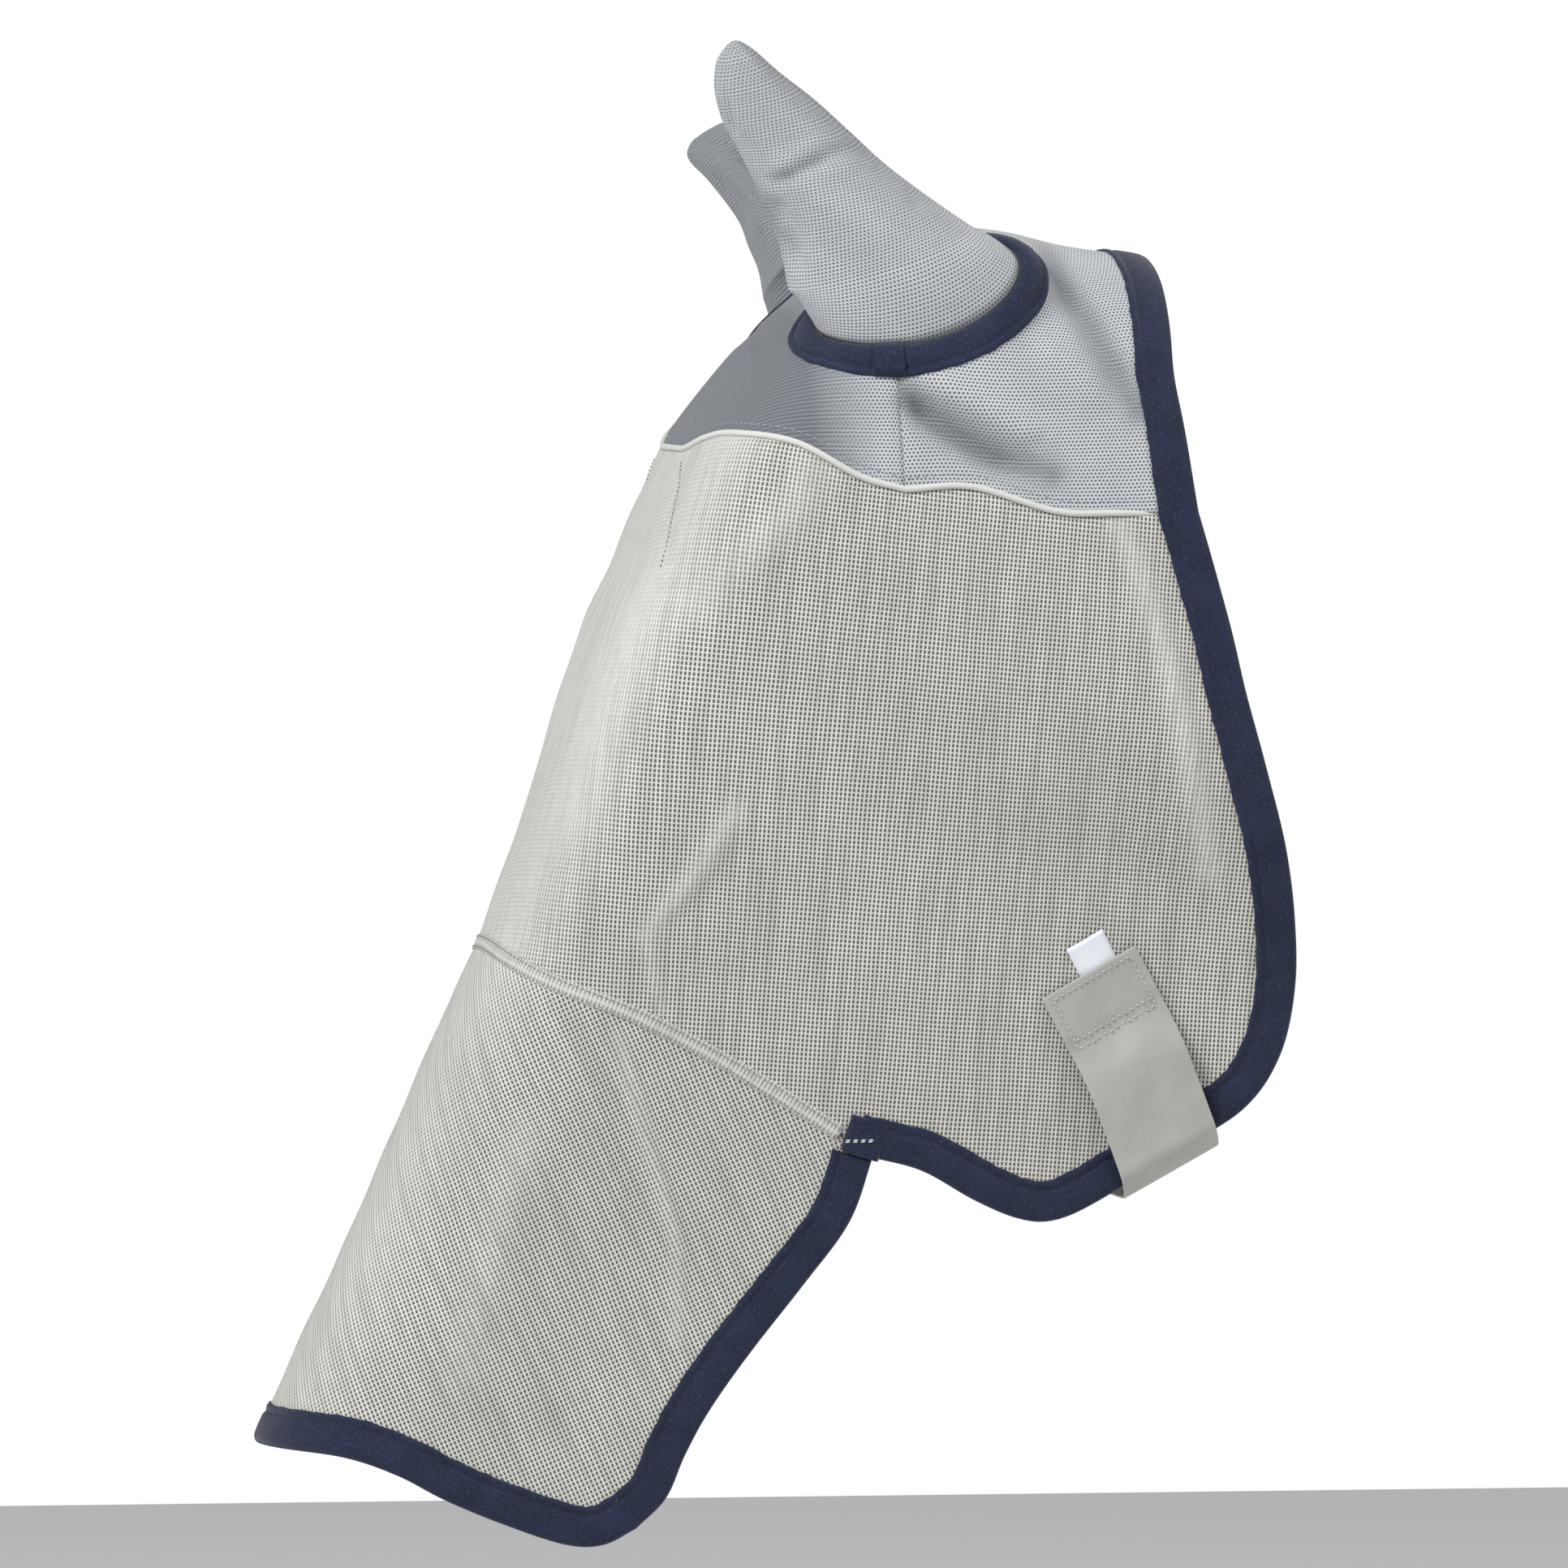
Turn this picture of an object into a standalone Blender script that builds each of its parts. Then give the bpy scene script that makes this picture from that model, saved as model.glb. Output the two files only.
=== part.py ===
"""Horse fly mask with ear covers and a nose cover, standing in the shape of the head it is worn on.

The origin is the poll, on the plane of symmetry. The horse faces -X, its left side is -Y, and +Z is up.
The outlines below are drawn on a side elevation (x back, z up) in metres, and the skin function gives
the cloth its width, so every panel, binding and seam lies on the same surface.
"""
import math

import bmesh
import bpy
import numpy as np
from mathutils import Vector

# Overall sizes of the head shape
HEAD_HEIGHT = 0.587      # poll to the lowest point of the nose hem
HEAD_DEPTH = 0.461       # front of the nose hem to the back edge at the cheek
EYE_WIDTH = 0.210        # across the eyes, the widest place
POLL_WIDTH = 0.150       # across the back edge behind the ears
CROWN_WIDTH = 0.186      # across the crown under the ears
SEAM_WIDTH = 0.146       # across the nose seam
NOSE_WIDTH = 0.130       # across the nose hem
THROAT_WIDTH = 0.152     # between the lower edges of the cheeks
CHEEK_DEPTH = 0.150      # behind the centre line, where the cheeks start to draw in to the throat
CHEEK_TAPER = 0.190      # distance over which they do
CHEEK_TOP = 0.060        # down the head, where the cheeks start
CHEEK_GROWS = 0.150      # distance down the head over which they grow

# Cloth, tape and cord
MESH_CLOTH = 0.0012      # open polyester mesh
KNIT_CLOTH = 0.0009      # perforated knit of the crown and ears
TAPE = 0.0008            # folded binding tape
BINDING_WIDTH = 0.0165   # visible width of the edge binding
RING_BINDING_WIDTH = 0.0125
PIPING_RADIUS = 0.0014
SEAM_TAPE_WIDTH = 0.0075
THREAD_RADIUS = 0.0004
GAP = 0.0003             # between pieces that touch
NEAREST = 0.002          # least distance between a cut end and the next point of its line
SLACK = 0.0007           # between a panel's faces and the tape folded round its edge

# Ear holes and ear covers
HOLE_LENGTH = 0.102      # ear hole along the head
HOLE_WIDTH = 0.064       # ear hole across its length
HOLE_CENTRE = (-0.079, -0.020)
HOLE_TILT = math.radians(20)
EAR_ROOM = (0.0026, 0.0018)   # between the ear cover and the ring, at the hole's ends and at its sides
EAR_SEAM = 0.0008        # between the outer and inner panels of an ear cover

# Throat straps
STRAP_WIDTH = 0.047
STRAP_CLOTH = 0.0015
STRAP_BOX = 0.030        # length that is stitched down
STRAP_BELOW = 0.0146     # from the lowest place where the strap crosses the cheek's edge to the bottom of its loop
STRAP_LEAN = math.radians(29)
STRAP_START = (-0.002, -0.327)
LAST_CHEEK = 0.0190      # height above the bottom of the loop where the strap starts to turn under
STRAP_OVERLAP = 0.070    # length of the throat where one strap lies on the other
STRAP_BOW = 0.006        # how far the free strap stands off the cheek
STRAP_TURN = ((0.001, 0.009), (0.009, 0.0015), (0.020, 0.0), (0.032, 0.0))   # in from the cheek, up from the loop
STRAP_TWIST = (0.004, 0.030)   # above the loop: where the strap is flat, and the length it turns over
TAPE_PAD = 0.0010        # thickness of the hook tape and of the loop tape
LABEL_CLOTH = 0.0003
LABEL_WIDTH = 0.019
LABEL_SHOWS = 0.014      # length of label above the stitched box
LABEL_TUCK = 0.005       # length of label under it
SEAM_GAP = 0.0005        # from a sewn seam's line to the edge of each cloth
LABEL_PLACE = 0.0055     # middle of the label, back from the middle of the strap
STITCH_EDGE = 0.003      # from the strap's edge to its stitches
PAD_EDGE = 0.002         # from the strap's end to its hook or loop tape
DART_FOLD = 0.005        # width of the cloth folded under at a dart
DART_DEPTH = 0.0026      # from the middle of the face mesh to the middle of the fold
TACK_RADIUS = 0.0006
TACK_END = 0.002         # from the corner fold's edge to the end of its bar tack
CORNER_FOLD = (0.0155, 0.017)   # folded end of the nose binding, across and along its edge

# The pattern sheet's own height and depth: the outlines are scaled from these to the sizes above
SHEET_HEIGHT = 0.587
SHEET_DEPTH = 0.461

CENTRE_LINE = [
    (0.090, -0.030), (0.060, -0.014), (0.031, -0.003), (0.000, 0.003), (-0.030, 0.009), (-0.060, 0.009),
    (-0.095, -0.002), (-0.126, -0.025), (-0.150, -0.048), (-0.169, -0.071), (-0.184, -0.095),
    (-0.206, -0.145), (-0.226, -0.200), (-0.244, -0.252), (-0.260, -0.297), (-0.269, -0.320),
    (-0.287, -0.358), (-0.309, -0.408), (-0.330, -0.458), (-0.348, -0.500), (-0.363, -0.541),
    (-0.377, -0.580), (-0.392, -0.620),
]
BROW_FRONT = (-0.1815, -0.091)
SEAM_FRONT = (-0.267, -0.315)
HEM_FRONT = (-0.363, -0.541)
POLL_EDGE = (0.031, -0.003)
EAR_SEAM_TOP = (-0.052, 0.009)
BROW_LINE = [
    BROW_FRONT, (-0.172, -0.085), (-0.161, -0.083), (-0.137, -0.087), (-0.109, -0.102), (-0.088, -0.108),
    (-0.057, -0.107), (-0.019, -0.118), (0.008, -0.119), (0.046, -0.119),
]
BROW_SEAM = (-0.088, -0.108)
BACK_EDGE = [
    POLL_EDGE, (0.033, -0.018), (0.035, -0.036), (0.036, -0.056), (0.040, -0.078), (0.046, -0.119),
    (0.059, -0.166), (0.067, -0.200), (0.076, -0.233), (0.086, -0.270), (0.090, -0.305), (0.089, -0.337),
    (0.082, -0.364), (0.067, -0.386), (0.038, -0.407), (0.004, -0.433), (-0.016, -0.441), (-0.032, -0.440),
    (-0.052, -0.431), (-0.076, -0.417), (-0.100, -0.409),
]
BROW_BACK = (0.046, -0.119)
JAW_CORNER = (-0.100, -0.409)
NOSE_SEAM = [
    SEAM_FRONT, (-0.259, -0.322), (-0.243, -0.331), (-0.206, -0.346), (-0.168, -0.366), (-0.132, -0.388),
    JAW_CORNER,
]
NOSE_EDGE = [
    JAW_CORNER, (-0.108, -0.440), (-0.127, -0.470), (-0.150, -0.500), (-0.170, -0.527), (-0.182, -0.547),
    (-0.191, -0.566), (-0.204, -0.580), (-0.220, -0.587), (-0.238, -0.586), (-0.266, -0.576),
    (-0.292, -0.565), (-0.314, -0.553), (-0.338, -0.545), HEM_FRONT,
]
HEM_CORNER = (-0.204, -0.580)
FRONT_ROWS = 8           # points of the crown panels along the centre line, before the ears
POLL_ROWS = 6            # and behind them
CLOTH_IS_AHEAD = -1      # the side of an edge that its cloth is on, going down the back edge
CLOTH_IS_BEHIND = 1      # and going back along the nose hem
EAR_ROWS = 10
EAR_LEAVES = 2           # rows of an ear cover from its hole's outline to its own
EAR_TURNS = 5            # rows over which its width turns from the hole's direction to its own
EAR_TURN = math.radians(13)
# Middle of each ear cover from its hole to its tip, from the middle of its hole, with half its width
# and half its thickness; the right cover's are drawn on the left, and it leans further out and forward
LEFT_EAR = [
    (0.000, 0.0109, 0.000, 0.047, 0.031), (-0.012, 0.0029, 0.017, 0.0425, 0.027),
    (-0.030, 0.0019, 0.034, 0.0390, 0.023), (-0.045, -0.0001, 0.052, 0.0330, 0.018),
    (-0.066, -0.0031, 0.080, 0.0255, 0.013), (-0.080, -0.0051, 0.101, 0.0160, 0.008),
    (-0.086, -0.0071, 0.114, 0.0050, 0.003),
]
RIGHT_EAR = [
    (0.000, 0.0109, 0.000, 0.047, 0.031), (-0.011, -0.0001, 0.014, 0.0415, 0.026),
    (-0.022, -0.0101, 0.026, 0.0345, 0.021), (-0.033, -0.0231, 0.039, 0.0285, 0.017),
    (-0.048, -0.0411, 0.055, 0.0220, 0.012), (-0.059, -0.0541, 0.065, 0.0150, 0.008),
    (-0.066, -0.0631, 0.070, 0.0070, 0.003),
]
FOREHEAD_DART = [(-0.1822, -0.0970), (-0.191, -0.121), (-0.1985, -0.143)]

KNIT = ("crown_knit", (0.38, 0.42, 0.46, 1), 0.85, 0.0)
MESH = ("face_mesh", (0.50, 0.50, 0.46, 1), 0.8, 0.0)
NAVY = ("navy_tape", (0.02, 0.026, 0.08, 1), 0.9, 0.0)
WHITE = ("white_cord", (0.85, 0.85, 0.82, 1), 0.7, 0.0)
WEBBING = ("strap_cloth", (0.42, 0.42, 0.39, 1), 0.6, 0.0)
HOOK = ("hook_tape", (0.05, 0.05, 0.06, 1), 0.9, 0.0)
LABEL_STUFF = ("label_cloth", (0.80, 0.82, 0.88, 1), 0.6, 0.0)
THREAD = ("thread", (0.62, 0.62, 0.58, 1), 0.7, 0.0)


def drawn(points):
    """Points of the side elevation, scaled from the pattern sheet to the mask's own size."""
    scale = np.array([HEAD_DEPTH / SHEET_DEPTH, HEAD_HEIGHT / SHEET_HEIGHT])
    return np.atleast_2d(np.array(points, float)) * scale


def spread(points, count, shares=None):
    """The same polyline with count points along it, evenly spaced unless shares of its length are given."""
    steps = np.linalg.norm(np.diff(points, axis=0), axis=1)
    run = np.concatenate([[0.0], np.cumsum(steps)])
    if shares is None:
        shares = np.linspace(0.0, 1.0, count)
    return np.stack([np.interp(shares * run[-1], run, points[:, k]) for k in range(points.shape[1])], axis=1)


def shortened(points, first, last):
    """The polyline with a length cut off each end, and its other points as they were."""
    steps = np.linalg.norm(np.diff(points, axis=0), axis=1)
    run = np.concatenate([[0.0], np.cumsum(steps)])
    kept = run[(run > first + NEAREST) & (run < run[-1] - last - NEAREST)]
    wanted = np.concatenate([[first], kept, [run[-1] - last]])
    return np.stack([np.interp(wanted, run, points[:, k]) for k in range(3)], axis=1)


def smooth(points, count=400):
    """A Catmull-Rom curve through the points, evenly spaced."""
    points = np.asarray(points, float)
    ends = np.vstack([2 * points[0] - points[1], points, 2 * points[-1] - points[-2]])
    pieces = []
    for before, start, end, after in zip(ends, ends[1:], ends[2:], ends[3:]):
        t = np.linspace(0.0, 1.0, 24, endpoint=False)[:, None]
        pieces.append(0.5 * (2 * start + (end - before) * t + (2 * before - 5 * start + 4 * end - after) * t**2
                             + (3 * start - before - 3 * end + after) * t**3))
    return spread(np.vstack(pieces + [points[-1:]]), count)


CENTRE = smooth(drawn(CENTRE_LINE), 260)


def down_head(x, z):
    """How far down the head a place is, measured along the slope of the face."""
    return -0.6 * x - 0.8 * z


# Down the head, half width, depth of the rounded front, and squareness of the rounded front
STATIONS = smooth([
    (-0.060, POLL_WIDTH / 2, 0.062, 2.5), (-0.010, POLL_WIDTH / 2, 0.062, 2.5),
    (0.055, CROWN_WIDTH / 2, 0.074, 2.2), (0.120, (CROWN_WIDTH + EYE_WIDTH) / 4, 0.060, 2.5),
    (0.180, EYE_WIDTH / 2, 0.054, 2.8), (0.240, EYE_WIDTH / 2 - 0.004, 0.054, 2.8),
    (0.320, EYE_WIDTH / 2 - 0.014, 0.056, 2.6), (0.410, SEAM_WIDTH / 2, 0.060, 2.3),
    (0.500, NOSE_WIDTH / 2 + 0.001, 0.062, 2.1), (0.600, NOSE_WIDTH / 2, 0.064, 2.1),
    (0.700, NOSE_WIDTH / 2, 0.064, 2.1),
])


def front_distance(x, z):
    """Distance behind the centre line in the side elevation, negative in front of it."""
    start = CENTRE[:-1]
    along = CENTRE[1:] - start
    rel_x = x[:, None] - start[:, 0]
    rel_z = z[:, None] - start[:, 1]
    share = np.clip((rel_x * along[:, 0] + rel_z * along[:, 1]) / (along**2).sum(axis=1), 0.0, 1.0)
    off_x = rel_x - share * along[:, 0]
    off_z = rel_z - share * along[:, 1]
    squared = off_x**2 + off_z**2
    nearest = squared.argmin(axis=1)
    row = np.arange(len(x))
    side = along[nearest, 0] * off_z[row, nearest] - along[nearest, 1] * off_x[row, nearest]
    return np.sqrt(squared[row, nearest]) * np.where(side >= 0, 1.0, -1.0)


def section(x, z):
    """Half width, rounding depth, squareness and distance behind the centre line at a place."""
    station = down_head(x, z)
    half = np.interp(station, STATIONS[:, 0], STATIONS[:, 1])
    depth = np.interp(station, STATIONS[:, 0], STATIONS[:, 2])
    square = np.interp(station, STATIONS[:, 0], STATIONS[:, 3])
    behind = front_distance(x, z)
    taper = np.clip((behind - CHEEK_DEPTH) / CHEEK_TAPER, 0.0, 1.0)
    lower = np.clip((station - CHEEK_TOP) / CHEEK_GROWS, 0.0, 1.0)
    taper = taper**2 * (3 - 2 * taper) * lower
    half = half + (THROAT_WIDTH / 2 - half) * taper
    return half, depth, square, behind


def skin(points):
    """Nought on the middle surface of the cloth, below nought inside the head, above nought outside."""
    half, depth, square, behind = section(points[:, 0], points[:, 2])
    front = np.maximum(1.0 - behind / depth, 0.0)
    side = np.abs(points[:, 1]) / half
    return np.maximum(side**square + front**square, 1e-12) ** (1.0 / square) - 1.0


def slope(points):
    """Gradient of the skin function."""
    step = 2e-5
    parts = []
    for axis in range(3):
        move = np.zeros(3)
        move[axis] = step
        parts.append((skin(points + move) - skin(points - move)) / (2 * step))
    return np.stack(parts, axis=1)


def normals(points):
    """Outward directions of the skin."""
    direction = slope(points)
    return direction / np.linalg.norm(direction, axis=1)[:, None]


def on_skin(points):
    """The points moved onto the skin along its gradient."""
    points = np.array(points, float)
    for _ in range(8):
        direction = slope(points)
        points -= direction * (skin(points) / (direction**2).sum(axis=1))[:, None]
    return points


def lifted(line, count, from_centre=True):
    """A line of the side elevation laid on the left half of the skin."""
    x, z = smooth(drawn(line), 500).T
    half, depth, square, behind = section(x, z)
    front = np.clip(1.0 - behind / depth, 0.0, 1.0)
    y = -half * (1.0 - front**square) ** (1.0 / square)
    if from_centre:
        y[0] = 0.0
    laid = spread(np.stack([x, y, z], axis=1), count)
    settled = on_skin(laid)
    if from_centre:
        settled[0] = laid[0]
    return settled


def centre_run(start, end, count):
    """Points along the centre line, from one drawn point to another."""
    first = np.linalg.norm(CENTRE - drawn([start]), axis=1).argmin()
    last = np.linalg.norm(CENTRE - drawn([end]), axis=1).argmin()
    step = 1 if last > first else -1
    run = CENTRE[first:last + step if last + step >= 0 else None:step]
    x, z = spread(run, count).T
    return np.stack([x, np.zeros(count), z], axis=1)


def split_at(line, corner):
    """A drawn line cut in two at one of its points."""
    index = line.index(corner)
    return line[:index + 1], line[index:]


def tangents(curve, closed=False):
    """Unit directions along a curve."""
    if closed:
        along = np.roll(curve, -1, axis=0) - np.roll(curve, 1, axis=0)
    else:
        along = np.gradient(curve, axis=0)
    return along / np.linalg.norm(along, axis=1)[:, None]


def rail(curve, inset, lift, side=1, closed=False):
    """The curve moved across the skin by inset, to the side given, and off it by lift."""
    across = np.cross(normals(curve), tangents(curve, closed)) * side
    across /= np.linalg.norm(across, axis=1)[:, None]
    moved = on_skin(curve + across * inset)
    return moved + normals(moved) * lift


def settled_rows(rows, columns, graded=0.0):
    """Each row laid on the skin, with its points drawn towards its ends by the grading."""
    even = np.linspace(0.0, 1.0, columns + 1)
    shares = (1.0 - graded) * even + graded * 0.5 * (1.0 - np.cos(math.pi * even))
    laid = []
    for row in rows:
        row = spread(row, 4 * columns + 1)
        for _ in range(3):
            row[1:-1] = on_skin(row[1:-1])
            row = spread(row, 4 * columns + 1)
        row = spread(row, columns + 1, shares)
        row[1:-1] = on_skin(row[1:-1])
        laid.append(row)
    return np.array(laid)


def patch(front, rear, top, bottom):
    """Grid of points between four curves: front to rear across each row, top to bottom down the rows."""
    count = len(front)
    columns = len(top)
    v = np.linspace(0.0, 1.0, count)[:, None, None]
    u = np.linspace(0.0, 1.0, columns)[None, :, None]
    ruled_across = front[:, None] * (1 - u) + rear[:, None] * u
    ruled_down = top[None] * (1 - v) + bottom[None] * v
    corners = ((1 - u) * (1 - v) * front[0] + u * (1 - v) * rear[0] + (1 - u) * v * front[-1]
               + u * v * rear[-1])
    grid = settled_rows(list((ruled_across + ruled_down - corners)), columns - 1)
    grid[0] = top
    grid[-1] = bottom
    return grid


def drawn_in(grid, edge, inset):
    """Moves one edge row or column of a grid inward across the skin by inset."""
    line = {"first": grid[0], "last": grid[-1], "left": grid[:, 0], "right": grid[:, -1]}[edge]
    inner = {"first": grid[1], "last": grid[-2], "left": grid[:, 1], "right": grid[:, -2]}[edge]
    across = np.cross(normals(line), tangents(line))
    facing = np.sign((across * (inner - line)).sum(axis=1))[:, None]
    line[:] = on_skin(line + across * facing * inset)


def material(finish):
    name, colour, roughness, metallic = finish
    made = bpy.data.materials.get(name)
    if made is None:
        made = bpy.data.materials.new(name)
        made.use_nodes = True
        shader = made.node_tree.nodes["Principled BSDF"]
        shader.inputs["Base Color"].default_value = colour
        shader.inputs["Roughness"].default_value = roughness
        shader.inputs["Metallic"].default_value = metallic
    return made


def keep(obj, finish):
    """Gives an object its material and puts it with the mask's pieces."""
    obj.data.materials.append(material(finish))
    for owner in list(obj.users_collection):
        owner.objects.unlink(obj)
    PIECES.objects.link(obj)
    return obj


def cloth(name, grid, thickness, finish, mirrored=False, closed=False, pivot=(0.0, 0.0, 0.0)):
    """A sheet of cloth: a grid laid on the given points, made solid by its thickness."""
    rows, columns = grid.shape[0] - 1, grid.shape[1] - 1
    mesh = bpy.data.meshes.new(name)
    made = bmesh.new()
    bmesh.ops.create_grid(made, x_segments=columns, y_segments=rows, size=0.5)
    for vertex in made.verts:
        column = round((vertex.co.x + 0.5) * columns)
        row = round((vertex.co.y + 0.5) * rows)
        vertex.co = Vector(grid[row, column]) - Vector(pivot)
    if closed:
        bmesh.ops.remove_doubles(made, verts=made.verts, dist=1e-5)
    made.to_mesh(mesh)
    made.free()
    mesh.shade_smooth()
    obj = bpy.data.objects.new(name, mesh)
    obj.location = pivot
    PIECES.objects.link(obj)
    if mirrored:
        mirror = obj.modifiers.new("mirror", "MIRROR")
        mirror.use_axis = (False, True, False)
        mirror.merge_threshold = 0.0001
    solid = obj.modifiers.new("thickness", "SOLIDIFY")
    solid.thickness = thickness
    solid.offset = 0.0
    solid.use_even_offset = True
    return keep(obj, finish)


def cord(name, points, radius, finish, closed=False):
    """A round cord or thread along the points."""
    curve = bpy.data.curves.new(name, "CURVE")
    curve.dimensions = "3D"
    curve.bevel_depth = radius
    curve.bevel_resolution = 2
    curve.use_fill_caps = not closed
    spline = curve.splines.new("POLY")
    spline.points.add(len(points) - 1)
    spline.use_cyclic_u = closed
    for point, place in zip(spline.points, points):
        point.co = (*place, 1.0)
    obj = bpy.data.objects.new(name, curve)
    PIECES.objects.link(obj)
    return keep(obj, finish)


def other_side(grid):
    """The same piece for the horse's right side."""
    return grid[..., ::-1, :] * np.array([1.0, -1.0, 1.0])


def both_sides(name, grid, thickness, finish, closed=False):
    cloth(f"left_{name}", grid, thickness, finish, closed=closed)
    cloth(f"right_{name}", other_side(grid), thickness, finish, closed=closed)


def folded_tape(curve, width, cloth_thickness, side=1, closed=False):
    """Rails of a tape folded round an edge: outer face, fold and inner face."""
    lift = cloth_thickness / 2 + SLACK + TAPE / 2
    web = SLACK + TAPE / 2
    rails = [(width - web, lift), (width / 2, lift), (-web, lift), (-web, -lift), (width / 2, -lift),
             (width - web, -lift)]
    lines = [rail(curve, inset, height, side, closed) for inset, height in rails]
    if closed:
        lines = [np.vstack([line, line[:1]]) for line in lines]
    return np.array(lines)


def hole_frame():
    """Centre, long axis, cross axis and normal of the left ear hole."""
    x, z = drawn([HOLE_CENTRE])[0]
    half, depth, square, behind = (value[0] for value in section(np.array([x]), np.array([z])))
    y = -half * (1.0 - max(1.0 - behind / depth, 0.0) ** square) ** (1.0 / square)
    centre = np.array([x, y, z])
    out = normals(centre[None])[0]
    along = np.array([math.cos(HOLE_TILT), 0.0, math.sin(HOLE_TILT)])
    along -= out * along.dot(out)
    along /= np.linalg.norm(along)
    return centre, along, np.cross(out, along), out


def hole_curve(angles, inset_along=0.0, inset_across=0.0):
    """Points of the ear hole's edge on the skin, at angles from its back end, drawn in by the insets."""
    centre, along, across, _ = hole_frame()
    reach = (HOLE_LENGTH / 2 - inset_along) * np.cos(angles)[:, None] * along
    return on_skin(centre + reach + (HOLE_WIDTH / 2 - inset_across) * np.sin(angles)[:, None] * across)


def hole_angle(target):
    """Angle on the ear hole's edge that lies nearest a place."""
    angles = np.linspace(-math.pi, math.pi, 721)
    return angles[np.linalg.norm(hole_curve(angles) - target, axis=1).argmin()]


def ribbon(inner, outer, columns):
    """Grid between the ear hole's edge and an outer curve with as many points."""
    return settled_rows([np.stack([a, b]) for a, b in zip(inner, outer)], columns)


def brow_stations():
    """Points along the brow line, front part and back part, that the panels and the piping share."""
    fore, aft = split_at(BROW_LINE, BROW_SEAM)
    return lifted(fore, 8), lifted(aft, 7, from_centre=False)


def edge_stations():
    """Points down the back edge to the brow line, and from there round the cheek to the jaw corner."""
    poll_side, cheek_side = split_at(BACK_EDGE, BROW_BACK)
    return lifted(poll_side, 9), lifted(cheek_side, 23, from_centre=False)


def nose_stations():
    """Points down the nose cover's rear edge, and from the hem's corner to its front."""
    rear, hem = split_at(NOSE_EDGE, HEM_CORNER)
    front_first = hem[::-1]
    return lifted(rear, 13, from_centre=False), lifted(front_first, 15)


def crown():
    """The two knit panels round the ear holes, the seams between them, and the rings of the ear holes."""
    brow_fore, brow_aft = brow_stations()
    poll_side, _ = edge_stations()
    to_front = centre_run(EAR_SEAM_TOP, BROW_FRONT, FRONT_ROWS)
    to_poll = centre_run(EAR_SEAM_TOP, POLL_EDGE, POLL_ROWS)
    foot = hole_angle(brow_fore[-1])
    head = hole_angle(to_front[0])
    back_turn = -((head - foot) % (2 * math.pi))
    front_turn = back_turn + 2 * math.pi

    front_outer = np.vstack([to_front[:-1], brow_fore])
    angles = np.linspace(head, head + front_turn, len(front_outer))
    front = settled_rows([np.stack(ends) for ends in zip(hole_curve(angles), front_outer)], 5, 0.5)
    back_outer = np.vstack([to_poll[:-1], poll_side, brow_aft[::-1][1:]])
    back_angles = np.linspace(head, head + back_turn, len(back_outer))
    back = settled_rows([np.stack(ends) for ends in zip(hole_curve(back_angles), back_outer)], 5, 0.5)

    side_seam = front[-1].copy()
    top_seam = front[0].copy()
    last_poll = POLL_ROWS + len(poll_side) - 2
    for grid, centre_rows, brow_row in ((front, FRONT_ROWS, FRONT_ROWS - 1), (back, POLL_ROWS, last_poll)):
        drawn_in(grid[brow_row:, -3:], "right", PIPING_RADIUS + GAP)
        drawn_in(grid, "first", SEAM_GAP)
        drawn_in(grid, "last", SEAM_GAP)
        grid[:centre_rows, -1, 1] = 0.0
    cloth("crown_front_panel", front, KNIT_CLOTH, KNIT, mirrored=True)
    cloth("crown_back_panel", back, KNIT_CLOTH, KNIT, mirrored=True)

    under = -(KNIT_CLOTH / 2 + SLACK + TAPE / 2)
    ring_room = RING_BINDING_WIDTH + GAP
    side_seam = shortened(side_seam, ring_room, 2 * PIPING_RADIUS)
    lines = [rail(side_seam, across, under) for across in (-SEAM_TAPE_WIDTH / 2, 0, SEAM_TAPE_WIDTH / 2)]
    both_sides("crown_seam", np.array(lines), TAPE, KNIT)
    top_seam = shortened(top_seam[::-1], 0, ring_room)
    lines = [rail(top_seam, across, under) for across in (-SEAM_TAPE_WIDTH / 2, 0, SEAM_TAPE_WIDTH / 2)]
    lines = np.array(lines)
    lines[:, 0, 1] = 0.0
    cloth("top_crown_seam", lines, TAPE, KNIT, mirrored=True)

    ring = hole_curve(np.concatenate([angles[:-1], back_angles[::-1][:-1]]))
    tape = folded_tape(ring, RING_BINDING_WIDTH, KNIT_CLOTH, -1, closed=True)
    both_sides("ear_ring", tape, TAPE, NAVY, closed=True)


def face():
    """The mesh over the face and cheeks, its two darts, and the piping along the brow."""
    brow_fore, brow_aft = brow_stations()
    brow = np.vstack([brow_fore, brow_aft[1:]])
    _, cheek = edge_stations()
    seam = lifted(NOSE_SEAM, len(brow))
    front = centre_run(BROW_FRONT, SEAM_FRONT, len(cheek))
    grid = patch(front, cheek, brow, seam)
    drawn_in(grid, "first", PIPING_RADIUS + GAP)
    drawn_in(grid, "last", SEAM_GAP)
    grid[:, 0, 1] = 0.0
    cloth("face_mesh_panel", grid, MESH_CLOTH, MESH, mirrored=True)

    run = shortened(brow, 0, BINDING_WIDTH + GAP)
    run = np.vstack([run[:0:-1] * np.array([1.0, -1.0, 1.0]), run])
    cord("browline_piping", run, PIPING_RADIUS, WHITE)

    dart = lifted(FOREHEAD_DART, 5, from_centre=False)
    fold = np.array([rail(dart, across, -DART_DEPTH) for across in (0, DART_FOLD / 2, DART_FOLD)])
    both_sides("forehead_dart", fold, MESH_CLOTH, MESH)


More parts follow.
